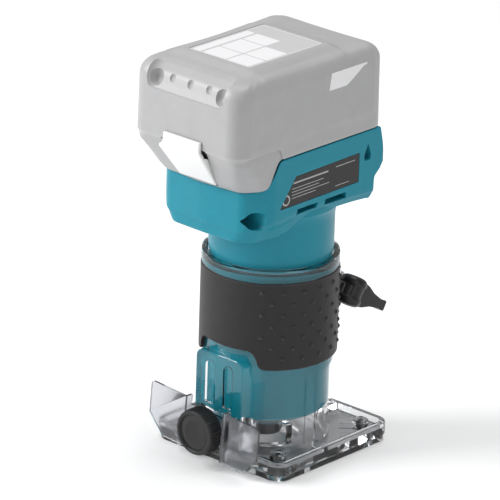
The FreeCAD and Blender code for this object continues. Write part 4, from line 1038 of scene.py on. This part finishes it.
def cam_lever():
    """The clamp lever: two thick round cheeks, the web between them, and one arm with a squared end."""
    cheek = [(0.3, 3.2), (7.2, 3.2), (7.4, 4.4), (7.2, 5.8), (6.5, 7.0), (5.2, 7.8), (3.6, 8.1), (0.3, 8.1)]
    body = disc("clamp_lever_arm", cheek, 64)
    parts = [disc("cheek", [(radius, -z) for radius, z in cheek], 64)]
    for thing in (body, parts[0]):
        thing.data.transform(Matrix.Diagonal((1, 1.06, 1, 1)))
    parts.append(prism("arm", "x", (-3.4, 3.0), rounded([
        (5.5, -7.2, 3), (11.5, -6.0, 4), (17, -3.9, 5), (25, -2.6, 5), (30.0, -3.1, 1.0), (30.0, 3.1, 1.0),
        (25, 2.6, 5), (17, 3.9, 5), (11.5, 6.0, 4), (5.5, 7.2, 3)], 6)))
    steps = 12
    start = -48
    end = 110
    out = [radians(start + (end - start) * step / steps) for step in range(steps + 1)]
    back = [radians(end - (end - start) * step / steps) for step in range(steps + 1)]
    web = [(6.7 * cos(turn), 6.9 * sin(turn)) for turn in out]
    web += [(5.45 * cos(turn), 5.45 * sin(turn)) for turn in back]
    parts.append(prism("web", "z", (-4.0, 4.0), web))
    combine(body, *parts, how="UNION")
    remesh = body.modifiers.new("skin", "REMESH")
    remesh.mode = "VOXEL"
    remesh.voxel_size = 0.35 * MM
    ease = body.modifiers.new("ease", "SMOOTH")
    ease.factor = 0.5
    ease.iterations = 5
    settle(body)
    room = disc("room", [(5.3, -3.2), (5.3, 3.2)], 48)
    combine(body, disc("hole", [(2.06, -12), (2.06, 12)], 32), room)
    body.data.transform(shift(17.2, *BOLT_PLACE) @ Matrix.Rotation(radians(-31), 4, "X"))
    piece(body, "clamp_lever", "black", ["cam_lever"], 50.0, False)


def deflector():
    """The bent clear sheet in front: strap, two returns and two wings."""
    thick = 1.4
    wing_y = -49.7
    strap_y = -44.85
    strap = block("chip_guard", (-14.3, 14.3), (strap_y - thick, strap_y), (-9, 9), 0.6, "y")
    parts = []
    for sign in (-1, 1):
        parts.append(block("return", sorted((sign * 13.0, sign * 14.4)), (wing_y, strap_y), (-14.5, 14.3),
                           0.5, "x"))
        parts.append(prism("wing", "y", (wing_y, wing_y + thick), rounded([
            (sign * 13, -14.5, 0.8), (sign * 28, -14.5, 1.5), (sign * 38.3, -4, 1.5),
            (sign * 38.3, 13.2, 2.0), (sign * 37.3, 14.3, 2.0), (sign * 13, 14.3, 0.8)], 5)))
    combine(strap, *parts, how="UNION")
    combine(strap, disc("hole", [(3.0, -60), (3.0, -40)], 32, (0, 0), "y"))
    soften(strap, 0.3, 2, 50.0)
    strap.data.transform(shift(0, 0, KNOB_HEIGHT) @ Matrix.Rotation(radians(4), 4, "Y"))
    piece(strap, "base", "sheet", ["chip_deflector"])


# ------ stage

def stage():
    """The pale floor, 6 m square, just under the sole."""
    half = 3.0 / MM
    corners = [(-half, -half, -0.05), (half, -half, -0.05), (half, half, -0.05), (-half, half, -0.05)]
    floor = mesh_object("floor", corners, [(0, 1, 2, 3)])
    paint_floor = material("pale_floor", (0.93, 0.93, 0.93), 0.6, tint=0.004, patch=6, grain=40, bump=0.0)
    floor.data.materials.append(paint_floor)


def lamp(name, place, aim, size, power):
    """A white rectangular lamp turned towards aim."""
    data = bpy.data.lights.new(name, "AREA")
    data.shape = "RECTANGLE"
    data.size, data.size_y = size
    data.energy = power
    light = bpy.data.objects.new(name, data)
    scene.collection.objects.link(light)
    light.location = place
    light.rotation_euler = (Vector(aim) - Vector(place)).to_track_quat("-Z", "Y").to_euler()


def light_up():
    """A pale sky and three lamps."""
    world = bpy.data.worlds.new("world")
    scene.world = world
    world.use_nodes = True
    sky = world.node_tree.nodes["Background"].inputs
    sky["Color"].default_value = (1, 1, 1, 1)
    sky["Strength"].default_value = 0.45
    middle = (0, 0, 0.1)
    lamp("key", (-1.1, -1.3, 1.1), middle, (0.9, 1.2), 40.0)
    lamp("fill", (1.7, -0.4, 0.7), middle, (0.7, 1.2), 5.0)
    lamp("top", (0.2, 0.4, 1.8), middle, (1.2, 1.0), 16.0)
    scene.view_settings.view_transform = "Standard"


grip_sleeve()
sole()
base_moulding()
head()
name_plate()
case_screws()
barrel()
pack_case()
pack_nose()
button()
slide_spring()
thumb_knob()
cam_lever()
deflector()
stage()
light_up()
